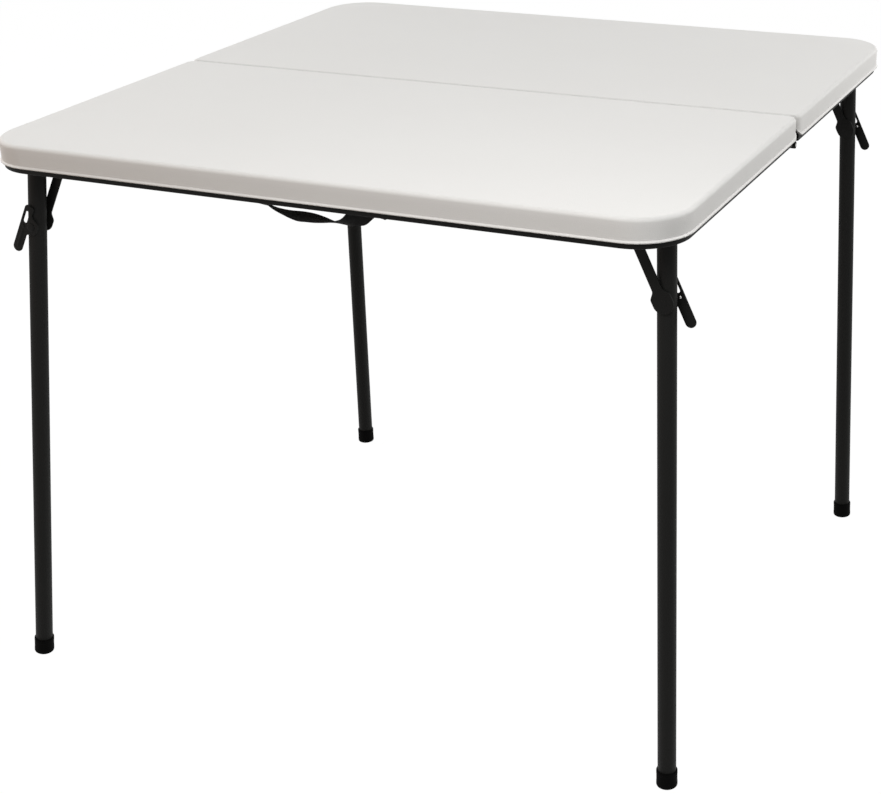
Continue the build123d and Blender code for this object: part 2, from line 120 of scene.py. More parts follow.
def build_mesh(name, points, faces):
    """Mesh with doubles merged, its faces outwards, smooth but for edges sharper than an angle."""
    mesh = bpy.data.meshes.new(name)
    mesh.from_pydata(np.asarray(points, float).reshape(-1, 3).tolist(), [], faces)
    work = bmesh.new()
    work.from_mesh(mesh)
    bmesh.ops.remove_doubles(work, verts=work.verts, dist=MERGE_REACH)
    bmesh.ops.dissolve_degenerate(work, edges=work.edges, dist=MERGE_REACH)
    bmesh.ops.recalc_face_normals(work, faces=work.faces)
    work.to_mesh(mesh)
    work.free()
    mesh.shade_smooth()
    mesh.set_sharp_from_angle(angle=SHARP_ANGLE)
    return mesh


piece_count = {}


def add_object(name, data):
    """Object for a mesh, a lamp or a camera, linked into the scene."""
    thing = bpy.data.objects.new(name, data)
    bpy.context.scene.collection.objects.link(thing)
    return thing


def place_piece(name, mesh, body, slot, stands_for=()):
    """Object for a mesh, with its finish, riding on a body and replacing solid nodes."""
    piece = add_object(name, mesh)
    mesh.materials.append(finishes[slot])
    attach(piece, body)
    if stands_for:
        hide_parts(*stands_for)
    piece_count[slot] = piece_count.get(slot, 0) + 1
    return piece


def carried(part, matrix):
    """Part, a pair of points and faces, with each point p moved to R p + t of a 4 by 4 matrix."""
    points, faces = part
    return np.reshape(points, (-1, 3)) @ matrix[:3, :3].T + matrix[:3, 3], faces


def dress(name, part, place, body, slot, stands_for=()):
    """Piece from a part carried to its place."""
    return place_piece(name, build_mesh(name, *carried(part, place)), body, slot, stands_for)


def ease(share):
    """Smooth step: 3 s squared less 2 s cubed, held between 0 and 1."""
    held = np.clip(share, 0, 1)
    return held * held * (3 - 2 * held)


def quarter_turn(steps):
    """Angles from 0 to a quarter of a turn, in even steps."""
    return np.linspace(0, math.pi / 2, steps)


def turn_about(axis, degrees):
    """Matrix of a turn about X, Y or Z."""
    return np.array(Matrix.Rotation(math.radians(degrees), 4, axis))


def shift(x, y, z):
    """Matrix of a move."""
    return np.array(Matrix.Translation((x, y, z)))


AS_IT_IS = np.eye(4)

print("helpers ready: grids, closed meshes and placed pieces")

# %% [markdown]
# ## Finishes
# The real table has six: pebbled plastic, satin frame paint, semi-matte leg paint, rubber, webbing
# and bare steel. What several share is made once as a node group: slow changes of colour, and a
# fine relief. Image textures could do this too, but a formula has no seams and no edge.

# %% Two shared effects as node groups
finishes = {}


def wire(tree, source, target):
    """Feed a socket: a link where the source is a socket too, or else the plain value."""
    if isinstance(source, bpy.types.NodeSocket):
        tree.links.new(source, target)
    else:
        target.default_value = source


def feed(tree, node, **values):
    """Feed a node's sockets by name, an underscore standing for a space."""
    for label, value in values.items():
        wire(tree, value, node.inputs[label.replace("_", " ")])


def math_node(tree, operation, *values):
    """Math node whose inputs are sockets or plain numbers."""
    node = tree.nodes.new("ShaderNodeMath")
    node.operation = operation
    for value, target in zip(values, node.inputs):
        wire(tree, value, target)
    return node.outputs[0]


def noise_node(tree, place, scale, detail):
    """Noise read at a place, with a scale that may be a socket."""
    node = tree.nodes.new("ShaderNodeTexNoise")
    feed(tree, node, Vector=place, Scale=scale, Detail=detail)
    return node.outputs["Fac"]


COLOUR_A, COLOUR_B, COLOUR_MIXED = 6, 7, 2


def colour_mix(tree, share, first, second, blend="MIX"):
    """Mix node for two colours, which keeps its colour sockets after those for numbers."""
    node = tree.nodes.new("ShaderNodeMix")
    node.data_type = "RGBA"
    node.blend_type = blend
    wire(tree, share, node.inputs["Factor"])
    wire(tree, first, node.inputs[COLOUR_A])
    wire(tree, second, node.inputs[COLOUR_B])
    return node.outputs[COLOUR_MIXED]


def new_group(name, inputs, outputs):
    """Empty node group with named sockets: a list of (name, kind) for each side."""
    group = bpy.data.node_groups.new(name, "ShaderNodeTree")
    for label, kind in inputs:
        group.interface.new_socket(label, in_out="INPUT", socket_type=f"NodeSocket{kind}")
    for label, kind in outputs:
        group.interface.new_socket(label, in_out="OUTPUT", socket_type=f"NodeSocket{kind}")
    return group, group.nodes.new("NodeGroupInput"), group.nodes.new("NodeGroupOutput")


PATCH_SHARE = 0.6


def make_mottle():
    """Group that drifts between two colours in soft patches and gives a patchy roughness."""
    inputs = [("Place", "Vector"), ("Colour", "Color"), ("Other colour", "Color"), ("Patches", "Float"),
              ("Specks", "Float"), ("Rough low", "Float"), ("Rough high", "Float")]
    group, given, result = new_group("mottle", inputs, [("Colour", "Color"), ("Roughness", "Float")])
    patches = noise_node(group, given.outputs["Place"], given.outputs["Patches"], 4.0)
    specks = noise_node(group, given.outputs["Place"], given.outputs["Specks"], 2.0)
    mixed = colour_mix(group, patches, given.outputs["Colour"], given.outputs["Other colour"])
    wire(group, mixed, result.inputs["Colour"])
    small = math_node(group, "MULTIPLY", specks, 1 - PATCH_SHARE)
    blend = math_node(group, "MULTIPLY_ADD", patches, PATCH_SHARE, small)
    spread = math_node(group, "SUBTRACT", given.outputs["Rough high"], given.outputs["Rough low"])
    rough = math_node(group, "MULTIPLY_ADD", blend, spread, given.outputs["Rough low"])
    wire(group, rough, result.inputs["Roughness"])
    return group


def make_relief():
    """Group whose height is small round pebbles on slow waves, each with its own scale and share."""
    inputs = [("Place", "Vector"), ("Pebbles", "Float"), ("Waves", "Float"), ("Wave share", "Float")]
    group, given, result = new_group("relief", inputs, [("Height", "Float")])
    cells = group.nodes.new("ShaderNodeTexVoronoi")
    cells.feature = "F1"
    feed(group, cells, Vector=given.outputs["Place"], Scale=given.outputs["Pebbles"])
    waves = noise_node(group, given.outputs["Place"], given.outputs["Waves"], 2.0)
    slow = math_node(group, "MULTIPLY", waves, given.outputs["Wave share"])
    wire(group, math_node(group, "SUBTRACT", slow, cells.outputs["Distance"]), result.inputs["Height"])
    return group


mottle = make_mottle()
relief = make_relief()
print("node groups:", mottle.name, "and", relief.name)

# %% [markdown]
# The paint and the plastic differ in numbers more than in kind: how large the pebbles are, how deep,
# and how shiny. So one function makes all the plain finishes, and only cloth and steel add to it.

# %% A function for plain finishes, and the five that use it
def start_material(name):
    """New material, its tree, its shader and the Object coordinate."""
    material = bpy.data.materials.new(name)
    material.use_nodes = True
    tree = material.node_tree
    shader = tree.nodes["Principled BSDF"]
    place = tree.nodes.new("ShaderNodeTexCoord").outputs["Object"]
    finishes[name] = material
    return tree, shader, place


def group_node(tree, group, place, **values):
    """Group placed in a material, reading a place, with its values by name."""
    node = tree.nodes.new("ShaderNodeGroup")
    node.node_tree = group
    feed(tree, node, Place=place, **values)
    return node


def bump_node(tree, shader, height, depth):
    """Bump of a depth in metres on the shader's normal."""
    bump = tree.nodes.new("ShaderNodeBump")
    feed(tree, bump, Strength=1.0, Distance=depth, Height=height)
    wire(tree, bump.outputs["Normal"], shader.inputs["Normal"])


PEBBLES_PER_SPECK = 4


def plain_finish(name, colour, other, rough, patches, pebbles, waves, wave_share, depth, shine,
                 metal=0.0):
    """Finish with drifting colour, patchy roughness and fine relief."""
    tree, shader, place = start_material(name)
    colours = group_node(tree, mottle, place, Colour=(*colour, 1), Other_colour=(*other, 1),
                         Patches=patches, Specks=pebbles / PEBBLES_PER_SPECK,
                         Rough_low=rough[0], Rough_high=rough[1])
    feed(tree, shader, Base_Color=colours.outputs["Colour"], Roughness=colours.outputs["Roughness"],
         Metallic=metal, Specular_IOR_Level=shine)
    surface = group_node(tree, relief, place, Pebbles=pebbles, Waves=waves, Wave_share=wave_share)
    bump_node(tree, shader, surface.outputs["Height"], depth)


plain_finish("panel_plastic", (0.806, 0.794, 0.773), (0.841, 0.834, 0.813), rough=(0.52, 0.64),
             patches=5.0, pebbles=900.0, waves=7.0, wave_share=2.5, depth=0.00009, shine=0.30)
plain_finish("frame_enamel", (0.0070, 0.0070, 0.0066), (0.0110, 0.0109, 0.0102), rough=(0.46, 0.62),
             patches=14.0, pebbles=1100.0, waves=90.0, wave_share=0.8, depth=0.00005, shine=0.10)
plain_finish("leg_enamel", (0.0094, 0.0094, 0.0088), (0.0130, 0.0130, 0.0121), rough=(0.50, 0.66),
             patches=11.0, pebbles=1300.0, waves=110.0, wave_share=0.8, depth=0.00005, shine=0.11)
plain_finish("foot_rubber", (0.0008, 0.0008, 0.0008), (0.0026, 0.0025, 0.0024), rough=(0.68, 0.85),
             patches=60.0, pebbles=700.0, waves=200.0, wave_share=1.2, depth=0.00008, shine=0.05)
plain_finish("rivet_steel", (0.56, 0.555, 0.54), (0.66, 0.655, 0.64), rough=(0.26, 0.44),
             patches=120.0, pebbles=2200.0, waves=300.0, wave_share=1.0, depth=0.00002, shine=0.5,
             metal=1.0)
print("plain finishes:", ", ".join(finishes))

# %% [markdown]
# Where the two halves meet, the groove between them lies in shade, and that shade is painted into the
# plastic's colour as a soft grey line. It could be drawn on, but a mask on the distance from the seam
# stays right in every pose.

# %% Painted shade along the seam
# Painted shade at the seam: its half width, its fade, and the share of the colour kept at y = 0.
SEAM_SHADE_HALF = 3.2 * MM
SEAM_SHADE_FADE = 1.4 * MM
SEAM_PAINTED_SHADE = 0.89


def paint_seam_shade(material):
    """Painted seam shade: colour times a share that is lowest at y = 0 and eases back to 1 past the line's half
    width.
    """
    tree = material.node_tree
    shader = tree.nodes["Principled BSDF"]
    unshaded_colour = shader.inputs["Base Color"].links[0].from_socket
    apart = tree.nodes.new("ShaderNodeSeparateXYZ")
    wire(tree, tree.nodes.new("ShaderNodeTexCoord").outputs["Object"], apart.inputs[0])
    line = tree.nodes.new("ShaderNodeMapRange")
    line.interpolation_type = "SMOOTHSTEP"
    feed(tree, line, Value=math_node(tree, "ABSOLUTE", apart.outputs["Y"]), From_Min=SEAM_SHADE_HALF,
         From_Max=SEAM_SHADE_HALF + SEAM_SHADE_FADE, To_Min=SEAM_PAINTED_SHADE)
    # Painted shade: the plastic's own colour is multiplied down along the seam.
    shaded = colour_mix(tree, 1.0, unshaded_colour, line.outputs["Result"], "MULTIPLY")
    wire(tree, shaded, shader.inputs["Base Color"])


paint_seam_shade(finishes["panel_plastic"])
print(f"seam line {2 * SEAM_SHADE_HALF / MM:.1f} mm wide")

# %% [markdown]
# ## Camera
# The camera stands where the photographer's stood, found from the corners, seam and feet of the
# table. The photo is a crop, so the picture's middle is off the optical axis, and a shift gives that.

# %% Set the camera
IMAGE_WIDE_PX, IMAGE_TALL_PX = 881, 794
AXIS_PX = (587.811, 216.002)
FOCAL_PX = 1828.507
SENSOR_MM = 36.0
CAMERA_AT = np.array([1045.107, -2038.403, 1290.030]) * MM
CAMERA_AZIMUTH, CAMERA_ELEVATION, CAMERA_ROLL = 22.9598, 18.2761, -0.7918


def aim_camera():
    """Camera whose axes are worked out from azimuth, elevation and roll."""
    azimuth, elevation, roll = map(math.radians, (CAMERA_AZIMUTH, CAMERA_ELEVATION, CAMERA_ROLL))
    level = math.cos(elevation)
    back = np.array([math.sin(azimuth) * level, -math.cos(azimuth) * level, math.sin(elevation)])
    right = np.cross(-back, [0, 0, 1.0])
    right /= np.linalg.norm(right)
    up = np.cross(right, -back)
    lens = bpy.data.cameras.new("camera")
    lens.sensor_width = SENSOR_MM
    lens.lens = FOCAL_PX / IMAGE_WIDE_PX * SENSOR_MM
    lens.shift_x = (IMAGE_WIDE_PX / 2 - AXIS_PX[0]) / IMAGE_WIDE_PX
    lens.shift_y = (AXIS_PX[1] - IMAGE_TALL_PX / 2) / IMAGE_WIDE_PX
    camera = add_object("camera", lens)
    pose = np.eye(4)
    pose[:3, 0] = right * math.cos(roll) + up * math.sin(roll)
    pose[:3, 1] = up * math.cos(roll) - right * math.sin(roll)
    pose[:3, 2] = back
    pose[:3, 3] = CAMERA_AT
    camera.matrix_world = Matrix(pose.tolist())
    bpy.context.scene.camera = camera
    return lens


print(f"lens {aim_camera().lens:.1f} mm")

# %% [markdown]
# ## Studio
# The photo's top is brightest at its near right corner, its right side is pale and its front goes
# from warm grey to pale grey. That takes a lamp over the near right corner, one far to the left, one
# behind on the right, and a weak warm one for the left end of the front. The left and right lamps
# would glare off the flat top when it is seen from across the table, so they give light but no
# shine. The floor is white to the camera and still keeps a faint shadow.

# %% Light the studio and lay the floor
WORLD_FILL = 0.205
WHITE = (1.0, 1.0, 1.0)
WARM = (1.0, 0.60, 0.35)
LAMPS = {
    "near_lamp": ((0.66, -1.17, 1.68), 0.9, 12.3, WHITE),
    "left_lamp": ((-3.02, 0.15, 2.47), 1.6, 69.0, WHITE),
    "right_lamp": ((2.01, 1.84, 1.46), 1.0, 43.0, WHITE),
    "warm_lamp": ((-1.3, -1.7, 0.9), 0.8, 3.0, WARM),
}
LAMP_AIM = (0.03, 0.0, 0.6)
GLARE_FREE = ("right_lamp", "left_lamp")
FLOOR_HALF = 9.0
FLOOR_DROP = 0.0006
FLOOR_COLOUR = (0.28, 0.27, 0.255, 1)
FLOOR_WHITE_SHARE = 0.90
FLOOR_WHITE = 1.10


def add_lamp(name, at, size, power, colour):
    """Round soft lamp at a point, facing the table."""
    data = bpy.data.lights.new(name, "AREA")
    data.shape = "DISK"
    data.size = size
    data.energy = power
    data.color = colour
    lamp = add_object(name, data)
    aim = (Vector(LAMP_AIM) - Vector(at)).to_track_quat("-Z", "Y")
    lamp.matrix_world = Matrix.Translation(at) @ aim.to_matrix().to_4x4()
    lamp.visible_glossy = name not in GLARE_FREE


def background_ray(tree):
    """Mask that is 1 for rays that should see plain white: camera, glossy and transmission rays."""
    rays = tree.nodes.new("ShaderNodeLightPath").outputs
    either = math_node(tree, "MAXIMUM", rays["Is Camera Ray"], rays["Is Glossy Ray"])
    return math_node(tree, "MAXIMUM", either, rays["Is Transmission Ray"])


def make_world():
    """Surround that is dim for light and white for the background."""
    world = bpy.data.worlds.new("studio")
    bpy.context.scene.world = world
    world.use_nodes = True
    tree = world.node_tree
    shade = tree.nodes["Background"]
    wire(tree, (1, 1, 1, 1), shade.inputs["Color"])
    strength = math_node(tree, "MULTIPLY_ADD", background_ray(tree), 1 - WORLD_FILL, WORLD_FILL)
    wire(tree, strength, shade.inputs["Strength"])


def shader_mix(tree, share, first, second):
    """Mix of two shaders by a share."""
    node = tree.nodes.new("ShaderNodeMixShader")
    for source, target in zip((share, first, second), node.inputs):
        wire(tree, source, target)
    return node.outputs[0]


def lay_floor():
    """Wide pale floor: mostly white to the camera, the rest lit for shadows, and clear from below."""
    corners = FLOOR_HALF * np.array([(-1, -1), (1, -1), (1, 1), (-1, 1)])
    mesh = bpy.data.meshes.new("floor")
    mesh.from_pydata([(x, y, -FLOOR_DROP) for x, y in corners.tolist()], [], [(0, 1, 2, 3)])
    floor = add_object("floor", mesh)
    material = bpy.data.materials.new("floor_paper")
    material.use_nodes = True
    tree = material.node_tree
    shader = tree.nodes["Principled BSDF"]
    feed(tree, shader, Base_Color=FLOOR_COLOUR, Roughness=1.0, Specular_IOR_Level=0.0)
    white = tree.nodes.new("ShaderNodeEmission")
    wire(tree, FLOOR_WHITE, white.inputs["Strength"])
    share = math_node(tree, "MULTIPLY", background_ray(tree), FLOOR_WHITE_SHARE)
    from_above = shader_mix(tree, share, shader.outputs[0], white.outputs[0])
    below = tree.nodes.new("ShaderNodeNewGeometry").outputs["Backfacing"]
    clear = tree.nodes.new("ShaderNodeBsdfTransparent").outputs[0]
    surface = shader_mix(tree, below, from_above, clear)
    wire(tree, surface, tree.nodes["Material Output"].inputs["Surface"])
    mesh.materials.append(material)


make_world()
lay_floor()
for lamp_name, settings in LAMPS.items():
    add_lamp(lamp_name, *settings)
bpy.context.scene.view_settings.view_transform = "Standard"
print("studio:", ", ".join(LAMPS), "and a white floor")

# %% [markdown]
# ## The moulded top
# Each half is one hollow blow moulding: a flat top, a rounded edge, a skirt with a bead along its
# foot, and an underside that dips up into small cups. Where a cup meets the top skin, the two weld
# and the top stays stiff. It could be cut from a block with bevels, but the bead and the rise of the
# skirt at the seam follow the edge, so a profile carried round an outline is simpler.

# %% Named sizes of a half top
RIM_CORNER_R = 62 * MM
SEAM_CORNER_R = 12 * MM
LIP_OUT = 0.8 * MM
LIP_TALL = 3.0 * MM
LIP_ROUND = 0.7 * MM
LIP_SLOPE = 1.7 * MM
SKIRT_DRAFT = 0.7 * MM
SKIRT_WALL = 3.2 * MM
TOP_EDGE_R = 5.0 * MM
SEAM_EDGE_R = 2.4 * MM
END_RISE_R = 19 * MM
END_RISE_MOST = 17.4 * MM
END_RISE_LONG = 26 * MM
END_RISE_FADE = 5 * MM
CUP_LONG, CUP_WIDE, CUP_DEEP = 17 * MM, 8 * MM, 4.5 * MM
CUP_ROUND = 1.6 * MM
CUP_PITCH_U, CUP_PITCH_V = 66 * MM, 52 * MM
CUP_COLUMNS, CUP_ROWS = 12, 6
CUP_FIRST_V = 52 * MM
POCKET_DEEP = 4.9 * MM
POCKETS = {"inner": (-305.5 * MM, 332.5 * MM), "outer": (305.5 * MM, 388.5 * MM)}
POCKET_LONG, POCKET_WIDE = 67.4 * MM, 5.6 * MM
ARC_STEPS = 20
CORNER_MIDDLE = REACH - RIM_CORNER_R
SEAM_MIDDLE_U = REACH - LIP_OUT - SEAM_CORNER_R
SEAM_MIDDLE_V = START + SEAM_CORNER_R
INNER_EDGE = REACH - LIP_OUT - SKIRT_WALL
print(f"inside of the skirt at {INNER_EDGE / MM:.1f} mm from the middle")

# %% [markdown]
# The underside is a grid whose lines crowd where a cup's wall is steep. Its border is also the foot
# of the skirt's inner wall, so one loop of points serves the whole half.

# %% Grid lines of the underside
WALL_STEPS = np.array([-0.8, 0.1, 1.0]) * MM
half_sizes = np.array([CUP_WIDE, CUP_LONG]) / 2
wall_places = np.ravel(half_sizes[:, None] + WALL_STEPS)
CUP_OFFSETS = np.concatenate([-wall_places[::-1], [0], wall_places])
POCKET_EDGES = np.array([-0.6, 0.0, 0.6]) * MM
CUP_WALL = 1.8 * MM
BEND_LOW, BEND_HIGH = 36 * MM, 325 * MM
SEAM_ROWS, RIM_ROWS = 6, 9


def sorted_lines(*groups):
    """All line places in order, without near repeats."""
    lines = np.unique(np.round(np.concatenate([np.ravel(group) for group in groups]), 6))
    return lines[np.concatenate([[True], np.diff(lines) > 0.2 * MM])]


cup_u = (np.arange(CUP_COLUMNS) - (CUP_COLUMNS - 1) / 2) * CUP_PITCH_U
cup_v = CUP_FIRST_V + np.arange(CUP_ROWS) * CUP_PITCH_V
arc_u = CORNER_MIDDLE + (INNER_EDGE - CORNER_MIDDLE) * np.cos(quarter_turn(ARC_STEPS + 1))
pocket_u = np.array([u + side * POCKET_LONG / 2 for u, _ in POCKETS.values() for side in (-1, 1)])
pocket_v = np.array([v + side * POCKET_WIDE / 2 for _, v in POCKETS.values() for side in (-1, 1)])
middle_u = sorted_lines(cup_u[:, None] + CUP_OFFSETS, (cup_u[:-1] + cup_u[1:]) / 2,
                        pocket_u[:, None] + POCKET_EDGES)
middle_u = middle_u[np.abs(middle_u) < CORNER_MIDDLE - 0.3 * MM]
edge_u = np.unique(np.round(arc_u, 7))
lines_u = np.concatenate([-edge_u[::-1], middle_u, edge_u])
LOW_V, HIGH_V = START + SKIRT_WALL, INNER_EDGE
seam_side = np.linspace(LOW_V, BEND_LOW, SEAM_ROWS)
rim_side = np.linspace(BEND_HIGH, HIGH_V, RIM_ROWS)
lines_v = sorted_lines(seam_side, cup_v[:, None] + CUP_OFFSETS, (cup_v[:-1] + cup_v[1:]) / 2,
                       pocket_v[:, None] + POCKET_EDGES, rim_side)
print("underside grid:", len(lines_u), "by", len(lines_v))

# %% [markdown]
# Near a rounded corner the grid's rows are drawn in, so that its border is the corner's arc.

# %% Underside as a height over the plan
def border_limits(u):
    """Lowest and highest v of the inside at each u: the seam corner's arc and the rim corner's arc."""
    past_seam = np.clip(np.abs(u) - SEAM_MIDDLE_U, 0, INNER_EDGE - SEAM_MIDDLE_U)
    seam_r = INNER_EDGE - SEAM_MIDDLE_U
    low = SEAM_MIDDLE_V - np.sqrt(np.maximum(seam_r**2 - past_seam**2, 0))
    past_rim = np.clip(np.abs(u) - CORNER_MIDDLE, 0, INNER_EDGE - CORNER_MIDDLE)
    rim_r = INNER_EDGE - CORNER_MIDDLE
    high = CORNER_MIDDLE + np.sqrt(np.maximum(rim_r**2 - past_rim**2, 0))
    return low, high


def sunk_box(u, v, long, wide, deep, round_r):
    """Depth of a rounded rectangular cup: deep inside, 0 outside, eased across its wall."""
    out_u = np.abs(u) - long / 2 + round_r
    out_v = np.abs(v) - wide / 2 + round_r
    outside = np.hypot(np.maximum(out_u, 0), np.maximum(out_v, 0))
    inside = np.minimum(np.maximum(out_u, out_v), 0)
    distance = outside + inside - round_r
    return deep * ease(0.5 - distance / CUP_WALL)


def underside_points():
    """Plan of the underside and its height: the ceiling plus the depth of each cup and pocket."""
    low, high = border_limits(lines_u)
    u, v = np.meshgrid(lines_u, lines_v, indexing="ij")
    seam_part = (v - LOW_V) / (BEND_LOW - LOW_V)
    rim_part = (v - BEND_HIGH) / (HIGH_V - BEND_HIGH)
    near_seam = low[:, None] + seam_part * (BEND_LOW - low[:, None])
    near_rim = BEND_HIGH + rim_part * (high[:, None] - BEND_HIGH)
    v = np.where(v < BEND_LOW, near_seam, np.where(v > BEND_HIGH, near_rim, v))
    rise = np.zeros_like(u)
    column = np.clip(np.round((u - cup_u[0]) / CUP_PITCH_U), 0, CUP_COLUMNS - 1)
    row = np.clip(np.round((v - CUP_FIRST_V) / CUP_PITCH_V), 0, CUP_ROWS - 1)
    from_u = u - (cup_u[0] + column * CUP_PITCH_U)
    from_v = v - (CUP_FIRST_V + row * CUP_PITCH_V)
    across = (row + column) % 2 == 1
    long = np.where(across, CUP_WIDE, CUP_LONG)
    wide = np.where(across, CUP_LONG, CUP_WIDE)
    rise += sunk_box(from_u, from_v, long, wide, CUP_DEEP, CUP_ROUND)
    for pocket_at_u, pocket_at_v in POCKETS.values():
        rise += sunk_box(u - pocket_at_u, v - pocket_at_v, POCKET_LONG, POCKET_WIDE,
                         POCKET_DEEP, CUP_ROUND)
    return u, v, CEILING_Z + rise


under_u, under_v, under_z = underside_points()
print("cups per half:", CUP_COLUMNS * CUP_ROWS)

# %% [markdown]
# The loop round the half is four runs of the grid's border. Each of its points knows its outward
# direction, how much of the rim's large edge it has, and how far the skirt rises there.

# %% Outline of a half and the profile that goes round it
def border_index():
    """Grid indices round the border: along the seam, up a side, back along the rim, down the other."""
    columns, rows = len(lines_u), len(lines_v)
    along = [(i, 0) for i in range(columns)]
    along += [(columns - 1, j) for j in range(1, rows)]
    along += [(i, rows - 1) for i in range(columns - 2, -1, -1)]
    along += [(0, j) for j in range(rows - 2, 0, -1)]
    return np.array(along)


border = border_index()
border_u = under_u[border[:, 0], border[:, 1]]
border_v = under_v[border[:, 0], border[:, 1]]
on_seam = border[:, 1] == 0
on_rim = border[:, 1] == len(lines_v) - 1
side_sign = np.sign(border_u)
seam_share = np.clip((np.abs(border_u) - SEAM_MIDDLE_U) / (INNER_EDGE - SEAM_MIDDLE_U), 0, 1)
rim_share = np.clip((np.abs(border_u) - CORNER_MIDDLE) / (INNER_EDGE - CORNER_MIDDLE), 0, 1)
seam_normal = np.stack([side_sign * seam_share, -np.sqrt(1 - seam_share**2)], axis=1)
rim_normal = np.stack([side_sign * rim_share, np.sqrt(1 - rim_share**2)], axis=1)
side_normal = np.stack([side_sign, np.zeros_like(side_sign)], axis=1)


def outline(inset_rim, inset_seam):
    """Plan points of the loop at an inset: centre of curvature plus normal times the radius left."""
    seam_r = SEAM_CORNER_R - inset_seam
    corner_shift = np.where(seam_share > 0, REACH - inset_rim - seam_r - SEAM_MIDDLE_U, 0)
    seam_base = np.stack([side_sign * (np.minimum(np.abs(border_u), SEAM_MIDDLE_U) + corner_shift),
                          np.full_like(border_u, SEAM_MIDDLE_V)], axis=1)
    rim_base = np.stack([side_sign * np.minimum(np.abs(border_u), CORNER_MIDDLE),
                         np.full_like(border_u, CORNER_MIDDLE)], axis=1)
    side_base = np.stack([side_sign * CORNER_MIDDLE, border_v], axis=1)
    seam = seam_base + seam_normal * seam_r
    rim = rim_base + rim_normal * (RIM_CORNER_R - inset_rim)
    side = side_base + side_normal * (RIM_CORNER_R - inset_rim)
    return np.where(on_seam[:, None], seam, np.where(on_rim[:, None], rim, side))


outer_plan = outline(LIP_OUT, 0.0)
edge_share = np.where(on_seam, ease(np.arcsin(seam_share) / (math.pi / 2)), 1.0)
from_seam = np.clip(END_RISE_R - (outer_plan[:, 1] - START), 0, END_RISE_R)
end_rise = END_RISE_R - np.sqrt(END_RISE_R**2 - from_seam**2)
along_seam = ease((np.abs(outer_plan[:, 0]) - (REACH - END_RISE_LONG)) / END_RISE_FADE + 1)
end_rise = np.minimum(end_rise, END_RISE_MOST) * np.where(on_seam, along_seam, 1.0)
print("outline points:", len(border))
print(f"highest rise of the skirt: {end_rise.max() / MM:.1f} mm")

# %% [markdown]
# The profile goes from the flat top over the edge, down the skirt, round the bead, under the foot and
# up the inner wall to the underside's border.

# %% Build the skin of one half and use it twice
EDGE_ROWS, LIP_ROWS = 9, 4
WALL_SHARES = (0.33, 0.67, 0.96, 1.0)
SLOPE_SHARES = (0.08, 0.5, 0.92, 1.0, 1.08)


def half_top():
    """Closed skin of a half: top face, profile rows round the outline, and the underside grid."""
    rows = []

    def add_row(inset_rim, inset_seam, height, lift_share):
        """Row of the profile: the outline at an inset, at a height plus a share of the end's rise."""
        plan = outline(inset_rim, inset_seam)
        z = np.broadcast_to(height, (len(plan),)) + lift_share * end_rise
        rows.append(np.column_stack([plan, z]))

    edge_r = SEAM_EDGE_R + edge_share * (TOP_EDGE_R - SEAM_EDGE_R)
    for turn in quarter_turn(EDGE_ROWS):
        inset = LIP_OUT + TOP_EDGE_R * (1 - math.sin(turn))
        add_row(inset, SEAM_EDGE_R * (1 - math.sin(turn)), TOP_Z - edge_r * (1 - math.cos(turn)), 0.0)
    wall_top = TOP_Z - edge_r
    wall_low = RIM_Z + LIP_TALL
    for share in WALL_SHARES:
        add_row(LIP_OUT + share * SKIRT_DRAFT, 0.0, wall_top + share * (wall_low - wall_top), share)
    step = LIP_OUT + SKIRT_DRAFT
    for share in SLOPE_SHARES:
        add_row(step * max(1 - share, 0.0), 0.0, RIM_Z + LIP_TALL - LIP_SLOPE * share, 1.0)
    for turn in quarter_turn(LIP_ROWS):
        inset = LIP_ROUND * (1 - math.cos(turn))
        add_row(inset, inset, RIM_Z + LIP_ROUND * (1 - math.sin(turn)), 1.0)
    inner = LIP_OUT + SKIRT_WALL
    for turn in quarter_turn(LIP_ROWS):
        inset = LIP_ROUND * (1 - math.sin(turn))
        add_row(inner - inset, SKIRT_WALL - inset, RIM_Z + LIP_ROUND * (1 - math.cos(turn)), 1.0)
    add_row(inner, SKIRT_WALL, (RIM_Z + CEILING_Z) / 2, 0.5)
    ceiling = np.column_stack([border_u, border_v, under_z[border[:, 0], border[:, 1]]])
    rows.append(ceiling)
    shell = np.stack(rows)
    count = shell.shape[1]
    shell_faces = grid_faces(len(rows), count, close_columns=True)
    top_face = [list(range(count))]
    under = np.stack([under_u, under_v, under_z], axis=-1)
    return join((shell, shell_faces + top_face), (under, grid_faces(len(lines_u), len(lines_v))))


half_part = half_top()
HALF_PLACE = {"far": shift(CENTRE_X, 0, 0), "near": shift(CENTRE_X, 0, 0) @ turn_about("Z", 180)}
for half, place in HALF_PLACE.items():
    skin = dress(f"{half}_top_skin", half_part, place, f"{half}_half", "panel_plastic",
                 [f"{half}_panel"])
print("top skin:", len(skin.data.vertices), "points,", len(skin.data.polygons), "faces")

# %% [markdown]
# ## Rails
# The rail is one steel tube with a rounded box section, bent round three sides. A tube wall is a
# grid closed both ways: its outer sections go forward along the path and its inner ones come back.
# Its outer skin hangs 1 mm lower than the solid's, so that the dark line under the bead is as heavy
# as in the photo.

# %% Tube walls, and the two rails
RAIL_WIDE = 14 * MM
RAIL_WALL = 1.2 * MM
RAIL_DROP = 1.0 * MM
RAIL_ROUND = 1.1 * MM
SIDE_STEPS, CORNER_STEPS, FRONT_STEPS = 12, 28, 20


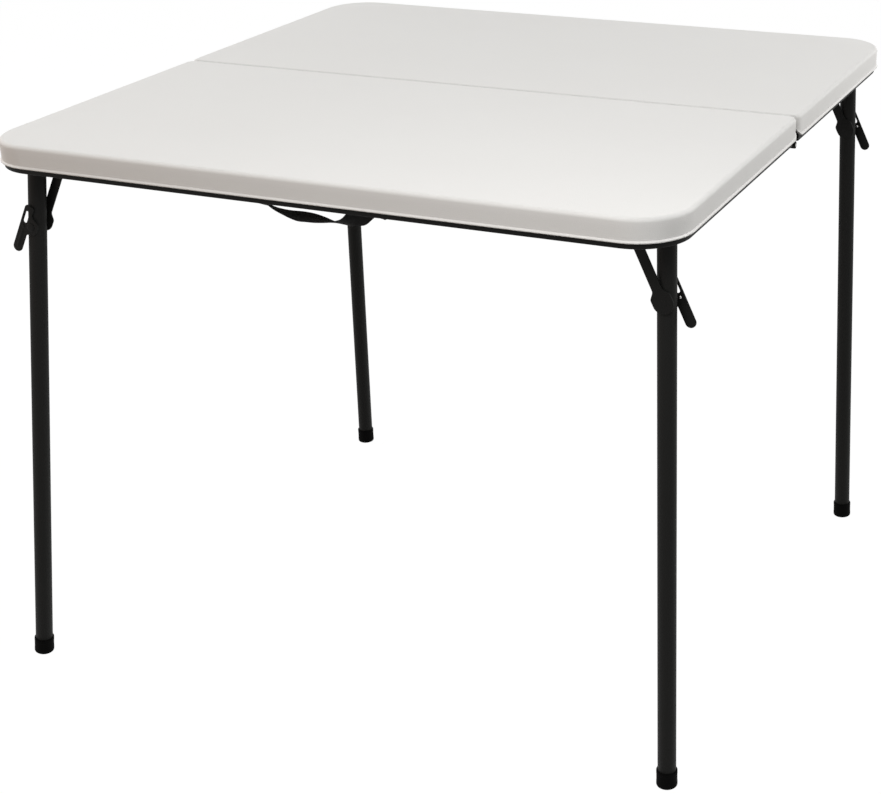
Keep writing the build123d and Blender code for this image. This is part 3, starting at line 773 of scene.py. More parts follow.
def rounded_box(low, high, radius, steps=4):
    """Loop round a box in the plane: four arcs of a quarter turn, joined by straight runs."""
    low, high = np.array(low), np.array(high)
    middle = [(high[0] - radius, high[1] - radius), (low[0] + radius, high[1] - radius),
              (low[0] + radius, low[1] + radius), (high[0] - radius, low[1] + radius)]
    loop = []
    for corner, (x, y) in enumerate(middle):
        turn = (corner + np.linspace(0, 1, steps + 1)) * math.pi / 2
        loop.append(np.column_stack([x + radius * np.cos(turn), y + radius * np.sin(turn)]))
    return np.concatenate(loop)


def tube_wall(outer, inner):
    """Closed wall between two stacks of sections: forward along the outer, back along the inner."""
    stack = np.concatenate([outer, inner[::-1]])
    return stack, grid_faces(stack.shape[0], stack.shape[1], True, True)


def rail_path():
    """Centres and normals of the U: up one side, round a corner, along the rim, and back."""
    side = np.linspace(RAIL_START, CORNER_MIDDLE, SIDE_STEPS)
    turn = quarter_turn(CORNER_STEPS)[1:-1]
    along = np.linspace(CORNER_MIDDLE, -CORNER_MIDDLE, FRONT_STEPS)
    to_corner = np.full(SIDE_STEPS + len(turn), CORNER_MIDDLE)
    u = np.concatenate([to_corner, along, -to_corner])
    v = np.concatenate([side, np.full(2 * len(turn) + FRONT_STEPS, CORNER_MIDDLE), side[::-1]])
    angle = np.concatenate([np.zeros(SIDE_STEPS), turn, np.full(FRONT_STEPS, math.pi / 2),
                            turn + math.pi / 2, np.full(SIDE_STEPS, math.pi)])
    return np.column_stack([u, v]), np.column_stack([np.cos(angle), np.sin(angle)])


def rail_wall():
    """Rail: each section point (inset, z) stands at centre plus normal times the radius left."""
    centres, normals = rail_path()
    outer_box = rounded_box((RAIL_INSET, RAIL_Z - RAIL_DROP),
                            (RAIL_INSET + RAIL_WIDE, CEILING_Z), RAIL_ROUND)
    inner_box = rounded_box((RAIL_INSET + RAIL_WALL, RAIL_Z + RAIL_WALL),
                            (RAIL_INSET + RAIL_WIDE - RAIL_WALL, CEILING_Z - RAIL_WALL), RAIL_ROUND / 3)
    sections = []
    for loop in (outer_box, inner_box):
        plan = centres[:, None, :] + normals[:, None, :] * (RIM_CORNER_R - loop[None, :, :1])
        height = np.broadcast_to(loop[None, :, 1:], plan.shape[:2] + (1,))
        sections.append(np.concatenate([plan, height], axis=2))
    return tube_wall(*sections)


rail_part = rail_wall()
for half, place in HALF_PLACE.items():
    tube = dress(f"{half}_rail_tube", rail_part, place, f"{half}_half", "frame_enamel",
                 [f"{half}_rail"])
print("rail tube:", len(tube.data.polygons), "faces")

# %% [markdown]
# A straight box tube lies across each half beside the seam. Where it meets the rail a bead of weld
# runs round it, with the ripples that a welder's hand leaves.

# %% Cross rails with a weld at each end
WELD_R = 1.3 * MM
WELD_RIPPLES = 26
WELD_RIPPLE_SHARE = 0.18
CORNER_ARC_STEPS = 25
CROSS_STATIONS = 8
WELD_SIDES = 8


def cross_tube(low, high):
    """Straight box tube along X between two corners."""
    outer = rounded_box(low[1:], high[1:], RAIL_ROUND)
    inner = rounded_box(low[1:] + RAIL_WALL, high[1:] - RAIL_WALL, RAIL_ROUND / 3)
    x = np.linspace(low[0], high[0], CROSS_STATIONS)[:, None, None]
    sections = [np.concatenate([np.broadcast_to(x, (CROSS_STATIONS, len(loop), 1)),
                                np.broadcast_to(loop, (CROSS_STATIONS, *loop.shape))], axis=2)
                for loop in (outer, inner)]
    return tube_wall(*sections)


def unit_rows(vectors):
    """Each row divided by its length."""
    return vectors / np.linalg.norm(vectors, axis=1)[:, None]


def loop_normals(loop):
    """Outward normals of a loop: at each point, the run from its last to its next one turned back."""
    run = np.roll(loop, -1, axis=0) - np.roll(loop, 1, axis=0)
    return unit_rows(np.column_stack([run[:, 1], -run[:, 0]]))


def weld(low, high, x):
    """Bead round the end of a tube: a small circle carried round the box, its radius rippled."""
    loop = rounded_box(low[1:], high[1:], RAIL_ROUND, CORNER_ARC_STEPS)
    outward = loop_normals(loop)
    around = np.linspace(0, 2 * math.pi, WELD_SIDES, endpoint=False)
    phase = np.arange(len(loop)) * WELD_RIPPLES * 2 * math.pi / len(loop)
    radius = WELD_R * (1 + WELD_RIPPLE_SHARE * np.sin(phase))[:, None]
    y = loop[:, :1] + outward[:, :1] * radius * np.cos(around)
    z = loop[:, 1:] + outward[:, 1:] * radius * np.cos(around)
    bead = np.stack([x + radius * np.sin(around), y, z], axis=-1)
    return bead, grid_faces(len(loop), len(around), True, True)


for half in HALF_PLACE:
    cross_low, cross_high = (np.array(corner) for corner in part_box(f"{half}_cross_rail"))
    ends = (cross_low[0] + WELD_R, cross_high[0] - WELD_R)
    part = join(cross_tube(cross_low, cross_high), *(weld(cross_low, cross_high, end) for end in ends))
    dress(f"{half}_cross_tube", part, AS_IT_IS, f"{half}_half", "frame_enamel",
          [f"{half}_cross_rail"])
print("cross tubes, each with a weld at both ends of", WELD_RIPPLES, "ripples")

# %% [markdown]
# ## Turned pieces
# Legs, collars, foot caps, pins and rivets are all round. Each is a profile of radius and height
# turned about an axis. A profile with rounded corners catches a line of light, as paint and rubber do.

# %% A rounded profile and a turned surface
TIGHT = 0.05 * MM


def soften(corners, steps=5):
    """Path through corners (a, b, radius), each replaced by an arc tangent to both of its runs."""
    path = []
    last = len(corners) - 1
    for index, (a, b, radius) in enumerate(corners):
        here = np.array([a, b], float)
        if radius == 0 or index in (0, last):
            path.append(here[None])
            continue
        back = np.array(corners[index - 1][:2]) - here
        ahead = np.array(corners[index + 1][:2]) - here
        back /= np.linalg.norm(back)
        ahead /= np.linalg.norm(ahead)
        half_angle = math.acos(np.clip(back @ ahead, -1, 1)) / 2
        start = here + back * radius / math.tan(half_angle)
        end = here + ahead * radius / math.tan(half_angle)
        middle = here + (back + ahead) / np.linalg.norm(back + ahead) * radius / math.sin(half_angle)
        share = np.linspace(0, 1, steps + 1)[:, None]
        sweep = math.pi - 2 * half_angle
        from_start = np.sin((1 - share) * sweep) * (start - middle)
        from_end = np.sin(share * sweep) * (end - middle)
        path.append(middle + (from_start + from_end) / math.sin(sweep))
    return np.concatenate(path)


def loop_soften(corners, steps=5):
    """The same for a closed loop of corners."""
    path = soften([corners[-1], *corners, corners[0]], steps)
    return path[1:-1]


def turned(profile, sides=56, closed=False):
    """Surface of a profile (radius, height) turned about Z: radius times cosine and sine, height."""
    profile = np.asarray(profile, float)
    around = np.linspace(0, 2 * math.pi, sides, endpoint=False)
    radius = profile[:, :1]
    height = np.broadcast_to(profile[:, 1:], (len(profile), sides))
    points = np.stack([radius * np.cos(around), radius * np.sin(around), height], axis=-1)
    return points, grid_faces(len(profile), sides, closed, True)


ALONG_Y = turn_about("X", -90)
print("a quarter of a circle of 4 mm takes", len(soften([(0, 0, 0), (4, 0, 3.9), (4, 4, 0)])), "points")

# %% [markdown]
# Each leg has its own frame: the pivot is at the origin, +X points to the middle of the table, and
# the leg hangs down along -Z. The near left leg leans out, and the far right one a little.

# %% Where each leg stands
LEG_NAMES = ("near_left", "near_right", "far_right", "far_left")
LEG_R = 10.8 * MM
LEG_WALL = 1.2 * MM
LEG_TOP = 5 * MM
CAP_R = 12.4 * MM
CAP_TALL = 21 * MM
CAP_SOLE = 5 * MM
SOLE_R = 4 * MM
COLLAR_R = 12.2 * MM
COLLAR_TOP = 12.6 * MM
COLLAR_TALL = 3.8 * MM
SHAFT_DROP = 94 * MM
ARM_REACH = 45 * MM
ARM_RISE = 5 * MM
ARM_LONG = math.hypot(ARM_REACH, SHAFT_DROP + ARM_RISE)


def leg_facts(name):
    """Lean, leg frame, leaning leg's frame, brace frame and length of one leg, from its joints."""
    fold = joints[f"{name}_leg_fold"]
    lean = round(fold["range_deg"][1] - 90, 4)
    pivot = np.array(fold["pos_m"])
    spot = shift(*pivot) @ turn_about("Z", 0 if pivot[0] < CENTRE_X else 180)
    leaning = spot @ turn_about("Y", lean)
    slope = math.radians(lean)
    angle = math.degrees(math.acos((ARM_RISE + SHAFT_DROP * math.cos(slope)) / ARM_LONG))
    brace = leaning @ shift(0, 0, -SHAFT_DROP) @ turn_about("Y", angle - lean)
    length = SOLE_R + (pivot[2] - SOLE_R - (CAP_R - SOLE_R) * math.sin(slope)) / math.cos(slope)
    return {"lean": lean, "spot": spot, "leaning": leaning, "brace": brace, "length": length}


legs = {name: leg_facts(name) for name in LEG_NAMES}
for name, facts in legs.items():
    print(f"{name} leans {facts['lean']} degrees, {facts['length'] / MM:.1f} mm from pivot to sole")

# %% [markdown]
# A leg is a thin tube with a plastic plug in its upper end, a collar under its bracket, and a rubber
# cap on its foot. The cap has a thicker band at its mouth and a small groove above its sole.

# %% Legs, plugs, collars and foot caps
CUT_R = 0.4 * MM
PLUG_DOME, PLUG_DEEP = 1.6 * MM, 6 * MM
PLUG_GAP, PLUG_LIP, PLUG_LIP_TALL = 0.1 * MM, 0.2 * MM, 0.9 * MM
PLUG_BEND_SHARES, PLUG_SIDES = (0.6, 0.9), 40
CAP_INSET = 0.15 * MM
CAP_EDGE_R = 2.4 * MM
SOLE_HOLLOW, HOLLOW_SHARE, SOLE_SHARE = 0.9 * MM, 0.5, 0.58
CAP_SIDES = 64
GROOVE_LOW, GROOVE_HIGH = 6.2 * MM, 6.6 * MM
BAND_LOW, BAND_HIGH = 5.0 * MM, 4.6 * MM
SOFT_R = 0.3 * MM


def leg_tube(length):
    """Tube wall with eased ends: outside down, round the cut edge, and back up the inside."""
    low = -(length - CAP_SOLE)
    ring = loop_soften([(LEG_R, LEG_TOP, CUT_R), (LEG_R, low, CUT_R), (LEG_R - LEG_WALL, low, CUT_R),
                        (LEG_R - LEG_WALL, LEG_TOP, CUT_R)], 3)
    return turned(ring, closed=True)


def leg_plug():
    """Domed plug in the top of a leg."""
    rim = LEG_R - LEG_WALL - PLUG_GAP
    lip = LEG_R - PLUG_LIP
    out, up = PLUG_BEND_SHARES
    profile = soften([
        (0, LEG_TOP + PLUG_DOME, 0), (rim * out, LEG_TOP + PLUG_DOME * up, 4 * MM),
        (lip, LEG_TOP + PLUG_LIP_TALL, 0.6 * MM), (lip, LEG_TOP, TIGHT), (rim, LEG_TOP, TIGHT),
        (rim, LEG_TOP - PLUG_DEEP, 0.5 * MM), (0, LEG_TOP - PLUG_DEEP, 0)], 4)
    return turned(profile, PLUG_SIDES)


def collar():
    """Ferrule: a short sleeve with rolled edges."""
    top, low = -COLLAR_TOP, -COLLAR_TOP - COLLAR_TALL
    ring = loop_soften([(LEG_R, top, 0.2 * MM), (COLLAR_R, top, 0.9 * MM), (COLLAR_R, low, 0.9 * MM),
                        (LEG_R, low, 0.2 * MM)], 4)
    return turned(ring, closed=True)


def foot_cap(length):
    """Rubber cap: a band at the mouth, a plain wall, a fine groove and a rounded sole."""
    low = -length
    mouth = low + CAP_TALL
    wall = CAP_R - CAP_INSET
    profile = soften([
        (0, low + SOLE_HOLLOW, 0), (CAP_R * HOLLOW_SHARE, low + SOLE_HOLLOW, 0.5 * MM),
        (CAP_R * SOLE_SHARE, low, 0.8 * MM), (CAP_R, low, CAP_EDGE_R),
        (CAP_R, low + GROOVE_LOW, SOFT_R), (wall, low + GROOVE_HIGH, SOFT_R),
        (wall, mouth - BAND_LOW, SOFT_R), (CAP_R, mouth - BAND_HIGH, SOFT_R), (CAP_R, mouth, 0.7 * MM),
        (LEG_R, mouth, 0.25 * MM), (LEG_R, low + CAP_SOLE, SOFT_R), (0, low + CAP_SOLE, 0)], 5)
    return turned(profile, CAP_SIDES)


def dress_part(name, body, place, jobs):
    """Pieces of one leg or brace: each job is a label, a part, a finish and the solid it replaces."""
    for label, part, slot_name, node in jobs:
        stands_for = [f"{name}_{node}"] if node else ()
        dress(f"{name}_{label}", part, place, body, slot_name, stands_for)


for name, facts in legs.items():
    dress_part(name, f"{name}_leg", facts["leaning"], (
        ("leg", leg_tube(facts["length"]), "leg_enamel", "leg_tube"),
        ("plug", leg_plug(), "foot_rubber", None),
        ("ferrule", collar(), "frame_enamel", "collar"),
        ("foot", foot_cap(facts["length"]), "foot_rubber", "foot_cap")))
print("legs dressed:", len(legs))

# %% [markdown]
# ## Pressed steel
# Arms and levers are stamped from sheet and dipped in paint, so their edges are soft. A stamped part
# is an outline with holes: each loop makes a narrow eased band on both faces, and the flat between
# the loops is filled with triangles.

# %% A stamped sheet with eased edges
SHEET = 2.0 * MM
PLATE_Q = LEG_R + 0.5 * MM
PLATE_OUT_Q = PLATE_Q + SHEET
EDGE_EASE, EASE_STEPS = 0.45 * MM, 4


def inward_loop(loop, amount):
    """Closed loop moved towards its material by an amount: point less its normal times the amount."""
    return loop - loop_normals(loop) * amount


def stamped(outer, holes, low, high):
    """Sheet in X and Z from y = low to y = high. Outer runs against the clock, holes with it."""
    parts = []
    faces_in = []
    turns = quarter_turn(EASE_STEPS)
    for loop in (outer, *holes):
        levels = [(EDGE_EASE * (1 - math.sin(turn)), low + EDGE_EASE * (1 - math.cos(turn)))
                  for turn in turns]
        levels += [(EDGE_EASE * (1 - math.cos(turn)), high - EDGE_EASE * (1 - math.sin(turn)))
                   for turn in turns]
        rows = []
        for inset, level in levels:
            moved_in = inward_loop(loop, inset)
            rows.append(np.column_stack([moved_in[:, 0], np.full(len(loop), level), moved_in[:, 1]]))
        parts.append((np.stack(rows), grid_faces(len(rows), len(loop), False, True)))
        faces_in.append((rows[0], rows[-1]))
    for end in (0, 1):
        loops = [pair[end] for pair in faces_in]
        flat = [[Vector((x, z, 0)) for x, _, z in ring] for ring in loops]
        parts.append((np.concatenate(loops), [list(face) for face in tessellate_polygon(flat)]))
    return join(*parts)


print(f"sheet {SHEET / MM:.1f} mm thick, from {PLATE_Q / MM:.1f} mm beside the leg's middle")

# %% [markdown]
# The arm is a boss on the shaft and a straight bar. The lever's blade stands beside the shaft on
# the other side of the leg, with a window to see through and a rib pressed along its lower end.

# %% The arm and the lever
ARM_HALF, ARM_TIP_R = 6 * MM, 5.9 * MM
ARM_NECK = (15 * MM, 6 * MM)
ARM_SHOULDER = (8 * MM, 5 * MM)
BOSS_R, BOSS_CORNER_R = 12 * MM, 11.9 * MM


def brace_arm():
    """Arm: a round boss on the shaft and a straight bar up to the slide pin."""
    top = ARM_LONG + ARM_HALF
    outer = loop_soften([
        (ARM_HALF, top, ARM_TIP_R), (-ARM_HALF, top, ARM_TIP_R), (-ARM_HALF, *ARM_NECK),
        (-BOSS_R, *ARM_SHOULDER), (-BOSS_R, -BOSS_R, BOSS_CORNER_R), (BOSS_R, -BOSS_R, BOSS_CORNER_R),
        (BOSS_R, *ARM_SHOULDER), (ARM_HALF, *ARM_NECK)], 8)
    return stamped(outer, [], PLATE_Q, PLATE_OUT_Q)


LEVER_OUT = 15.5 * MM
LEVER_WIDE = 12.8 * MM
LEVER_UP, LEVER_DOWN = 25 * MM, 40 * MM
LEVER_TOP_RADII = (3.5 * MM, 4 * MM)
LEVER_BOSS_R, LEVER_BOSS_ROUND = 9.5 * MM, 7 * MM
LEVER_NECK, LEVER_NECK_R = 13 * MM, 3 * MM
LEVER_SHOULDER, LEVER_SHOULDER_R = 3 * MM, 4 * MM
WINDOW_AT = (-9.7 * MM, 9 * MM)
WINDOW_LONG, WINDOW_WIDE = 16.5 * MM, 5.6 * MM


def lever():
    """Lever: a long blade beside the shaft, a boss on it, and a slot to see through."""
    inside = LEVER_WIDE - LEVER_OUT
    tip_r = LEVER_WIDE / 2 - TIGHT
    boss, boss_round = LEVER_BOSS_R, LEVER_BOSS_ROUND
    inner_r, outer_r = LEVER_TOP_RADII
    outer = loop_soften([
        (inside, LEVER_UP, inner_r), (-LEVER_OUT, LEVER_UP, outer_r),
        (-LEVER_OUT, -LEVER_DOWN, tip_r), (inside, -LEVER_DOWN, tip_r),
        (inside, -LEVER_NECK, LEVER_NECK_R), (LEVER_SHOULDER, -boss, LEVER_SHOULDER_R),
        (boss, -boss, boss_round), (boss, boss, boss_round),
        (LEVER_SHOULDER, boss, LEVER_SHOULDER_R), (inside, LEVER_NECK, LEVER_NECK_R)], 7)
    half_wide, half_long = WINDOW_WIDE / 2, WINDOW_LONG / 2
    x, z = WINDOW_AT
    window = rounded_box((x - half_wide, z - half_long), (x + half_wide, z + half_long),
                         half_wide - TIGHT, 7)
    return stamped(outer, [window[::-1]], -PLATE_OUT_Q, -PLATE_Q)


RIB_LONG, RIB_WIDE, RIB_PROUD = 27 * MM, 4.4 * MM, 0.9 * MM
RIB_Z = -21 * MM
RIB_STEPS, RIB_SIDES = 25, 9


def lever_rib():
    """Raised rib pressed along the lower blade: a half ellipse in section, faded at both ends."""
    along = np.linspace(-1, 1, RIB_STEPS)[:, None]
    across = np.linspace(0, math.pi, RIB_SIDES)[None]
    fade = np.sqrt(np.clip(1 - along**4, 0, 1))
    x = LEVER_WIDE / 2 - LEVER_OUT + np.cos(across) * (RIB_WIDE / 2) * fade
    y = -PLATE_OUT_Q + TIGHT - np.sin(across) * RIB_PROUD * fade
    z = np.broadcast_to(RIB_Z + along * RIB_LONG / 2, x.shape)
    return np.stack([x, y, z], axis=-1), grid_faces(*x.shape, False, True)


print("arm:", len(brace_arm()[1]), "faces, lever:", len(lever()[1]), "faces")

# %% [markdown]
# Pins and rivets have low domed heads. The seam pins, the slide pins, the strap's rivets and one
# small rivet in each lever are bare steel, and the rest are painted with the frame.

# %% Domed pins along Y
PIN_SIDES = 32
DOME_BEND_SHARES, DOME_EDGE_SHARE = (0.62, 0.92), 0.35
DOME_ROUND_SHARE, END_ROUND_SHARE = 0.3, 0.25


def pin_end(at, way, radius, head):
    """Corners from the axis to the shank: a domed head (radius, height), or a plain end for None."""
    if head is None:
        return [(0, at, 0), (radius, at, radius * END_ROUND_SHARE)]
    head_r, tall = head
    out, up = DOME_BEND_SHARES
    return [(0, at + way * tall, 0), (head_r * out, at + way * tall * up, head_r * DOME_ROUND_SHARE),
            (head_r, at + way * tall * DOME_EDGE_SHARE, tall * DOME_ROUND_SHARE),
            (head_r, at, TIGHT), (radius, at, TIGHT)]


def pin_profile(low, high, radius, heads):
    """Profile of a pin from low to high, with a head or None at each end."""
    low_head, high_head = heads
    return soften(pin_end(low, -1, radius, low_head) + pin_end(high, 1, radius, high_head)[::-1], 4)


def pin_along_y(low, high, radius, heads, x=0.0, z=0.0):
    """Pin turned about Y through a point in X and Z."""
    return carried(turned(pin_profile(low, high, radius, heads), PIN_SIDES), shift(x, 0, z) @ ALONG_Y)


print("a plain pin's profile has", len(pin_profile(0, 2, 1, (None, None))), "points")

# %% [markdown]
# A brace carries its arm on one side of the leg and its lever on the other, on a headed shaft. The
# slide pin at the arm's end reaches into the track. The pivot pin stays with the half.

# %% Dress the braces
PIVOT_R, PIVOT_HEAD = 3 * MM, (5 * MM, 1.6 * MM)
SHAFT_R, SHAFT_HEADS = 3.5 * MM, ((5.5 * MM, 1.4 * MM), (4.6 * MM, 0.35 * MM))
SLIDE_R, SLIDE_BACK = 2 * MM, 0.5 * MM
TRACK_Q = PLATE_OUT_Q + 0.5 * MM
SLIDE_OUT = TRACK_Q + SHEET + 0.3 * MM
LEVER_RIVET_R, LEVER_RIVET = 1.1 * MM, (1.6 * MM, 0.7 * MM)
BUTTON_R, BUTTON_DEEP, BUTTON = 1.2 * MM, 0.4 * MM, (2.3 * MM, 0.8 * MM)
LEVER_RIVET_AT = (-9.7 * MM, -4.2 * MM)

button = pin_along_y(-PLATE_OUT_Q, -PLATE_OUT_Q + BUTTON_DEEP, BUTTON_R, (BUTTON, None),
                     *LEVER_RIVET_AT)
shaft = pin_along_y(-PLATE_OUT_Q, PLATE_OUT_Q, SHAFT_R, SHAFT_HEADS)
slider = pin_along_y(PLATE_Q - SLIDE_BACK, SLIDE_OUT, SLIDE_R, (None, None), 0, ARM_LONG)
rivet = pin_along_y(-PLATE_Q - SHEET / 2, -PLATE_Q, LEVER_RIVET_R, (None, LEVER_RIVET),
                    *LEVER_RIVET_AT)
pivot = pin_along_y(-PLATE_OUT_Q, PLATE_OUT_Q, PIVOT_R, (PIVOT_HEAD, PIVOT_HEAD))
for name, facts in legs.items():
    half = name.split("_")[0]
    dress_part(name, f"{name}_brace", facts["brace"], (
        ("arm", brace_arm(), "frame_enamel", "brace_arm"),
        ("release_lever", join(lever(), lever_rib(), button), "frame_enamel", "lever"),
        ("shaft", shaft, "frame_enamel", "brace_shaft"),
        ("slider", slider, "rivet_steel", "slide_pin"),
        ("lever_rivet", rivet, "rivet_steel", None)))
    dress_part(name, f"{half}_half", facts["spot"], [("pivot", pivot, "frame_enamel", "pivot_pin")])
print("braces dressed:", len(legs))

# %% [markdown]
# The pivot bracket is sheet bent to a U. Its path goes along one cheek, round a bend, across the back
# against the rail, and along the other cheek. The cheek's height follows a circle about the pivot.

# %% Pivot brackets
BRACKET_BACK = 21.7 * MM
CHEEK_R = 11.5 * MM
BEND_R = 3 * MM
TIP_CUT = 0.2 * MM
LEAST_TALL_SHARE = 0.15
UNIT_ROUND = 0.3
TIP_STEPS, CHEEK_STEPS, BEND_STEPS, BACK_STEPS = 12, 5, 8, 4


def bracket_path():
    """Middle line of the sheet in plan, with its outward normals."""
    q = PLATE_Q + SHEET / 2
    back = -(BRACKET_BACK - SHEET / 2)
    tip = CHEEK_R - TIP_CUT
    near_tip = tip * np.sin(quarter_turn(TIP_STEPS))
    cheek = np.concatenate([near_tip[::-1], np.linspace(0, back + BEND_R, CHEEK_STEPS)[1:]])
    bend = quarter_turn(BEND_STEPS)[1:]
    bend_x = back + BEND_R - BEND_R * np.sin(bend)
    bend_y = q - BEND_R + BEND_R * np.cos(bend)
    flat = np.linspace(q - BEND_R, 0, BACK_STEPS)[1:]
    x = np.concatenate([cheek, bend_x, np.full(len(flat), back)])
    y = np.concatenate([np.full(len(cheek), q), bend_y, flat])
    x = np.concatenate([x, x[-2::-1]])
    y = np.concatenate([y, -y[-2::-1]])
    path = np.column_stack([x, y])
    run = unit_rows(np.gradient(path, axis=0))
    return path, np.column_stack([-run[:, 1], run[:, 0]])


def bracket():
    """U of sheet: at each place on the path stands a thin rounded box as tall as the cheek is there."""
    path, outward = bracket_path()
    half_tall = np.sqrt(np.maximum(CHEEK_R**2 - np.maximum(path[:, 0], 0) ** 2,
                                   (LEAST_TALL_SHARE * CHEEK_R) ** 2))
    unit = rounded_box((-1, -1), (1, 1), UNIT_ROUND, 3)
    across, upward = unit[None, :, :1], unit[None, :, 1:]
    plan = path[:, None, :] + outward[:, None, :] * (across * SHEET / 2)
    height = np.sign(upward) * (half_tall[:, None, None] - EDGE_EASE * 2 * (1 - np.abs(upward)))
    section = np.concatenate([plan, height], axis=2)
    rows, count = section.shape[:2]
    return section, grid_faces(rows, count, False, True) + end_caps(rows, count)


for name, facts in legs.items():
    half = name.split("_")[0]
    dress_part(name, f"{half}_half", facts["spot"],
               [("pivot_bracket", bracket(), "frame_enamel", "bracket")])
print("brackets:", len(legs))

# %% [markdown]
# ## Seam pins, rivets and a cap nut
# At each end of the seam a pin holds both halves. Its bright eye in a dark washer is what the photo
# shows there.

# %% Seam pins and their washers
SEAM_PIN_R = 2.0 * MM
SEAM_HEAD = (4.4 * MM, 0.9 * MM)
SEAM_EYE = (2.3 * MM, 1.6 * MM)
SEAM_PIN_SIDES = 40
WASHER_R, WASHER_THICK = 2.6 * MM, 0.3 * MM
LEAF_DEEP = 2.5 * MM
hinge_z = joints["near_fold"]["pos_m"][2]
seam_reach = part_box("seam_pins")[1][0] - CENTRE_X - SEAM_EYE[1]
seam_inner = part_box("far_hinge_leaves")[1][0] - CENTRE_X - LEAF_DEEP


def at_both_ends(low, high, radius, heads):
    """The same pin at both ends of the seam, turned about X."""
    pin = turned(pin_profile(low, high, radius, heads), SEAM_PIN_SIDES)
    places = [shift(CENTRE_X, 0, hinge_z) @ turn_about("Z", turn) @ turn_about("Y", 90)
              for turn in (0, 180)]
    return join(*(carried(pin, place) for place in places))


seam_pins = at_both_ends(seam_inner, seam_reach, SEAM_PIN_R, (SEAM_HEAD, SEAM_EYE))
washers = at_both_ends(seam_reach - WASHER_THICK, seam_reach, WASHER_R, (None, SEAM_HEAD))
dress("seam_pin_pair", seam_pins, AS_IT_IS, "seam_pins", "rivet_steel", ["seam_pins"])
dress("seam_washers", washers, AS_IT_IS, "seam_pins", "frame_enamel")
print(f"seam pins {(seam_reach - seam_inner) / MM:.1f} mm long between their heads")

# %% [markdown]
# Two domed rivets hold the strap to the near rail. Beside the strap one pointed nut hangs under the
# rail, to the right as the photo shows it.

# %% Strap rivets and the cap nut
RAIL_FACE = REACH - RAIL_INSET - RAIL_WIDE
PIVOT_Z = joints["near_left_leg_fold"]["pos_m"][2]
STRAP_THICK = 1.5 * MM
RIVET_U = 109.5 * MM
RIVET_R, RIVET_HEAD = 2 * MM, (5 * MM, 1.3 * MM)
rivets = [pin_along_y(RAIL_FACE - STRAP_THICK, RAIL_FACE + RAIL_WALL, RIVET_R, (RIVET_HEAD, None),
                      u, PIVOT_Z) for u in (-RIVET_U, RIVET_U)]
dress("strap_rivet_pair", join(*rivets), HALF_PLACE["near"], "near_half", "rivet_steel",
      ["strap_rivets"])

RAIL_MIDDLE = REACH - RAIL_INSET - RAIL_WIDE / 2
CAP_NUT_R, CAP_NUT_TALL = 5.2 * MM, 2.8 * MM
CAP_NUT_U = -100 * MM
NUT_TIP_R = 1.3 * MM
CONE_R, CONE_LOW = 3.9 * MM, 0.9 * MM
FLANGE_THICK = 0.7 * MM


def cap_nut():
    """Pointed cap nut hanging under the rail: a flange, a cone and a small round tip."""
    profile = soften([
        (0, -CAP_NUT_TALL, 0), (NUT_TIP_R, -CAP_NUT_TALL, 0.6 * MM), (CONE_R, -CONE_LOW, 0.8 * MM),
        (CAP_NUT_R, -FLANGE_THICK, SOFT_R), (CAP_NUT_R, 0, TIGHT), (0, 0, 0)], 4)
    return carried(turned(profile, PIN_SIDES), shift(CAP_NUT_U, RAIL_MIDDLE, RAIL_Z - RAIL_DROP))


dress("near_cap_nut", cap_nut(), HALF_PLACE["near"], "near_half", "frame_enamel")
print("cap nut", round(2 * CAP_NUT_R / MM, 1), "mm wide")

# %% [markdown]
# ## Carry strap
# The strap is a flat woven ribbon riveted to the rail at both ends. It bows down and twists, so some
# of it is seen edge-on. Cloth simulation would erase so thin a ribbon, so its path is set by listed
# stations, and a smooth curve runs through them. Its weave follows the ribbon's own map.

# %% Webbing: ribs across, a warp along, and a bound edge
STRAP_WIDE = 20 * MM
RIB_PITCH = 1.25 * MM
WARP_PITCH = 1.6 * MM
WEAVE_DEEP = 0.3 * MM
FUZZ_SCALE, FUZZ_SHARE = 2600.0, 0.25
THREAD_DARK, THREAD_PALE = (0.0045, 0.0045, 0.0045, 1), (0.011, 0.0108, 0.0104, 1)
# Painted shade: the colour given to the low parts of the weave, between the threads.
THREAD_GAP_SHADE = (0.0022, 0.0022, 0.0022, 1)


def webbing_finish():
    """Woven finish on the ribbon's map: rounded ribs across it, split by the warp along it, with shade painted
    darker where the weave is low between the threads.
    """
    tree, shader, place = start_material("webbing")
    ribbon_map = tree.nodes.new("ShaderNodeUVMap")
    ribbon_map.uv_map = "ribbon"
    parts = tree.nodes.new("ShaderNodeSeparateXYZ")
    wire(tree, ribbon_map.outputs["UV"], parts.inputs[0])
    along, across = parts.outputs["X"], parts.outputs["Y"]
    warp = math_node(tree, "SINE", math_node(tree, "MULTIPLY", across, 2 * math.pi / WARP_PITCH))
    offset = math_node(tree, "MULTIPLY", math_node(tree, "SIGN", warp), math.pi / 2)
    phase = math_node(tree, "MULTIPLY_ADD", along, 2 * math.pi / RIB_PITCH, offset)
    rib = math_node(tree, "ABSOLUTE", math_node(tree, "SINE", phase))
    thread = math_node(tree, "ABSOLUTE", warp)
    weave = math_node(tree, "MULTIPLY", rib, math_node(tree, "POWER", thread, 0.5))
    fuzz = noise_node(tree, place, FUZZ_SCALE, 2.0)
    bump_node(tree, shader, math_node(tree, "MULTIPLY_ADD", fuzz, FUZZ_SHARE, weave), WEAVE_DEEP)
    colours = group_node(tree, mottle, place, Colour=THREAD_DARK, Other_colour=THREAD_PALE,
                         Patches=70.0, Specks=900.0, Rough_low=0.72, Rough_high=0.92)
    # Painted shade: where the weave is low, its colour goes to the darker gap colour.
    woven = colour_mix(tree, weave, THREAD_GAP_SHADE, colours.outputs["Colour"])
    feed(tree, shader, Base_Color=woven, Roughness=colours.outputs["Roughness"],
         Specular_IOR_Level=0.15, Sheen_Weight=0.05)


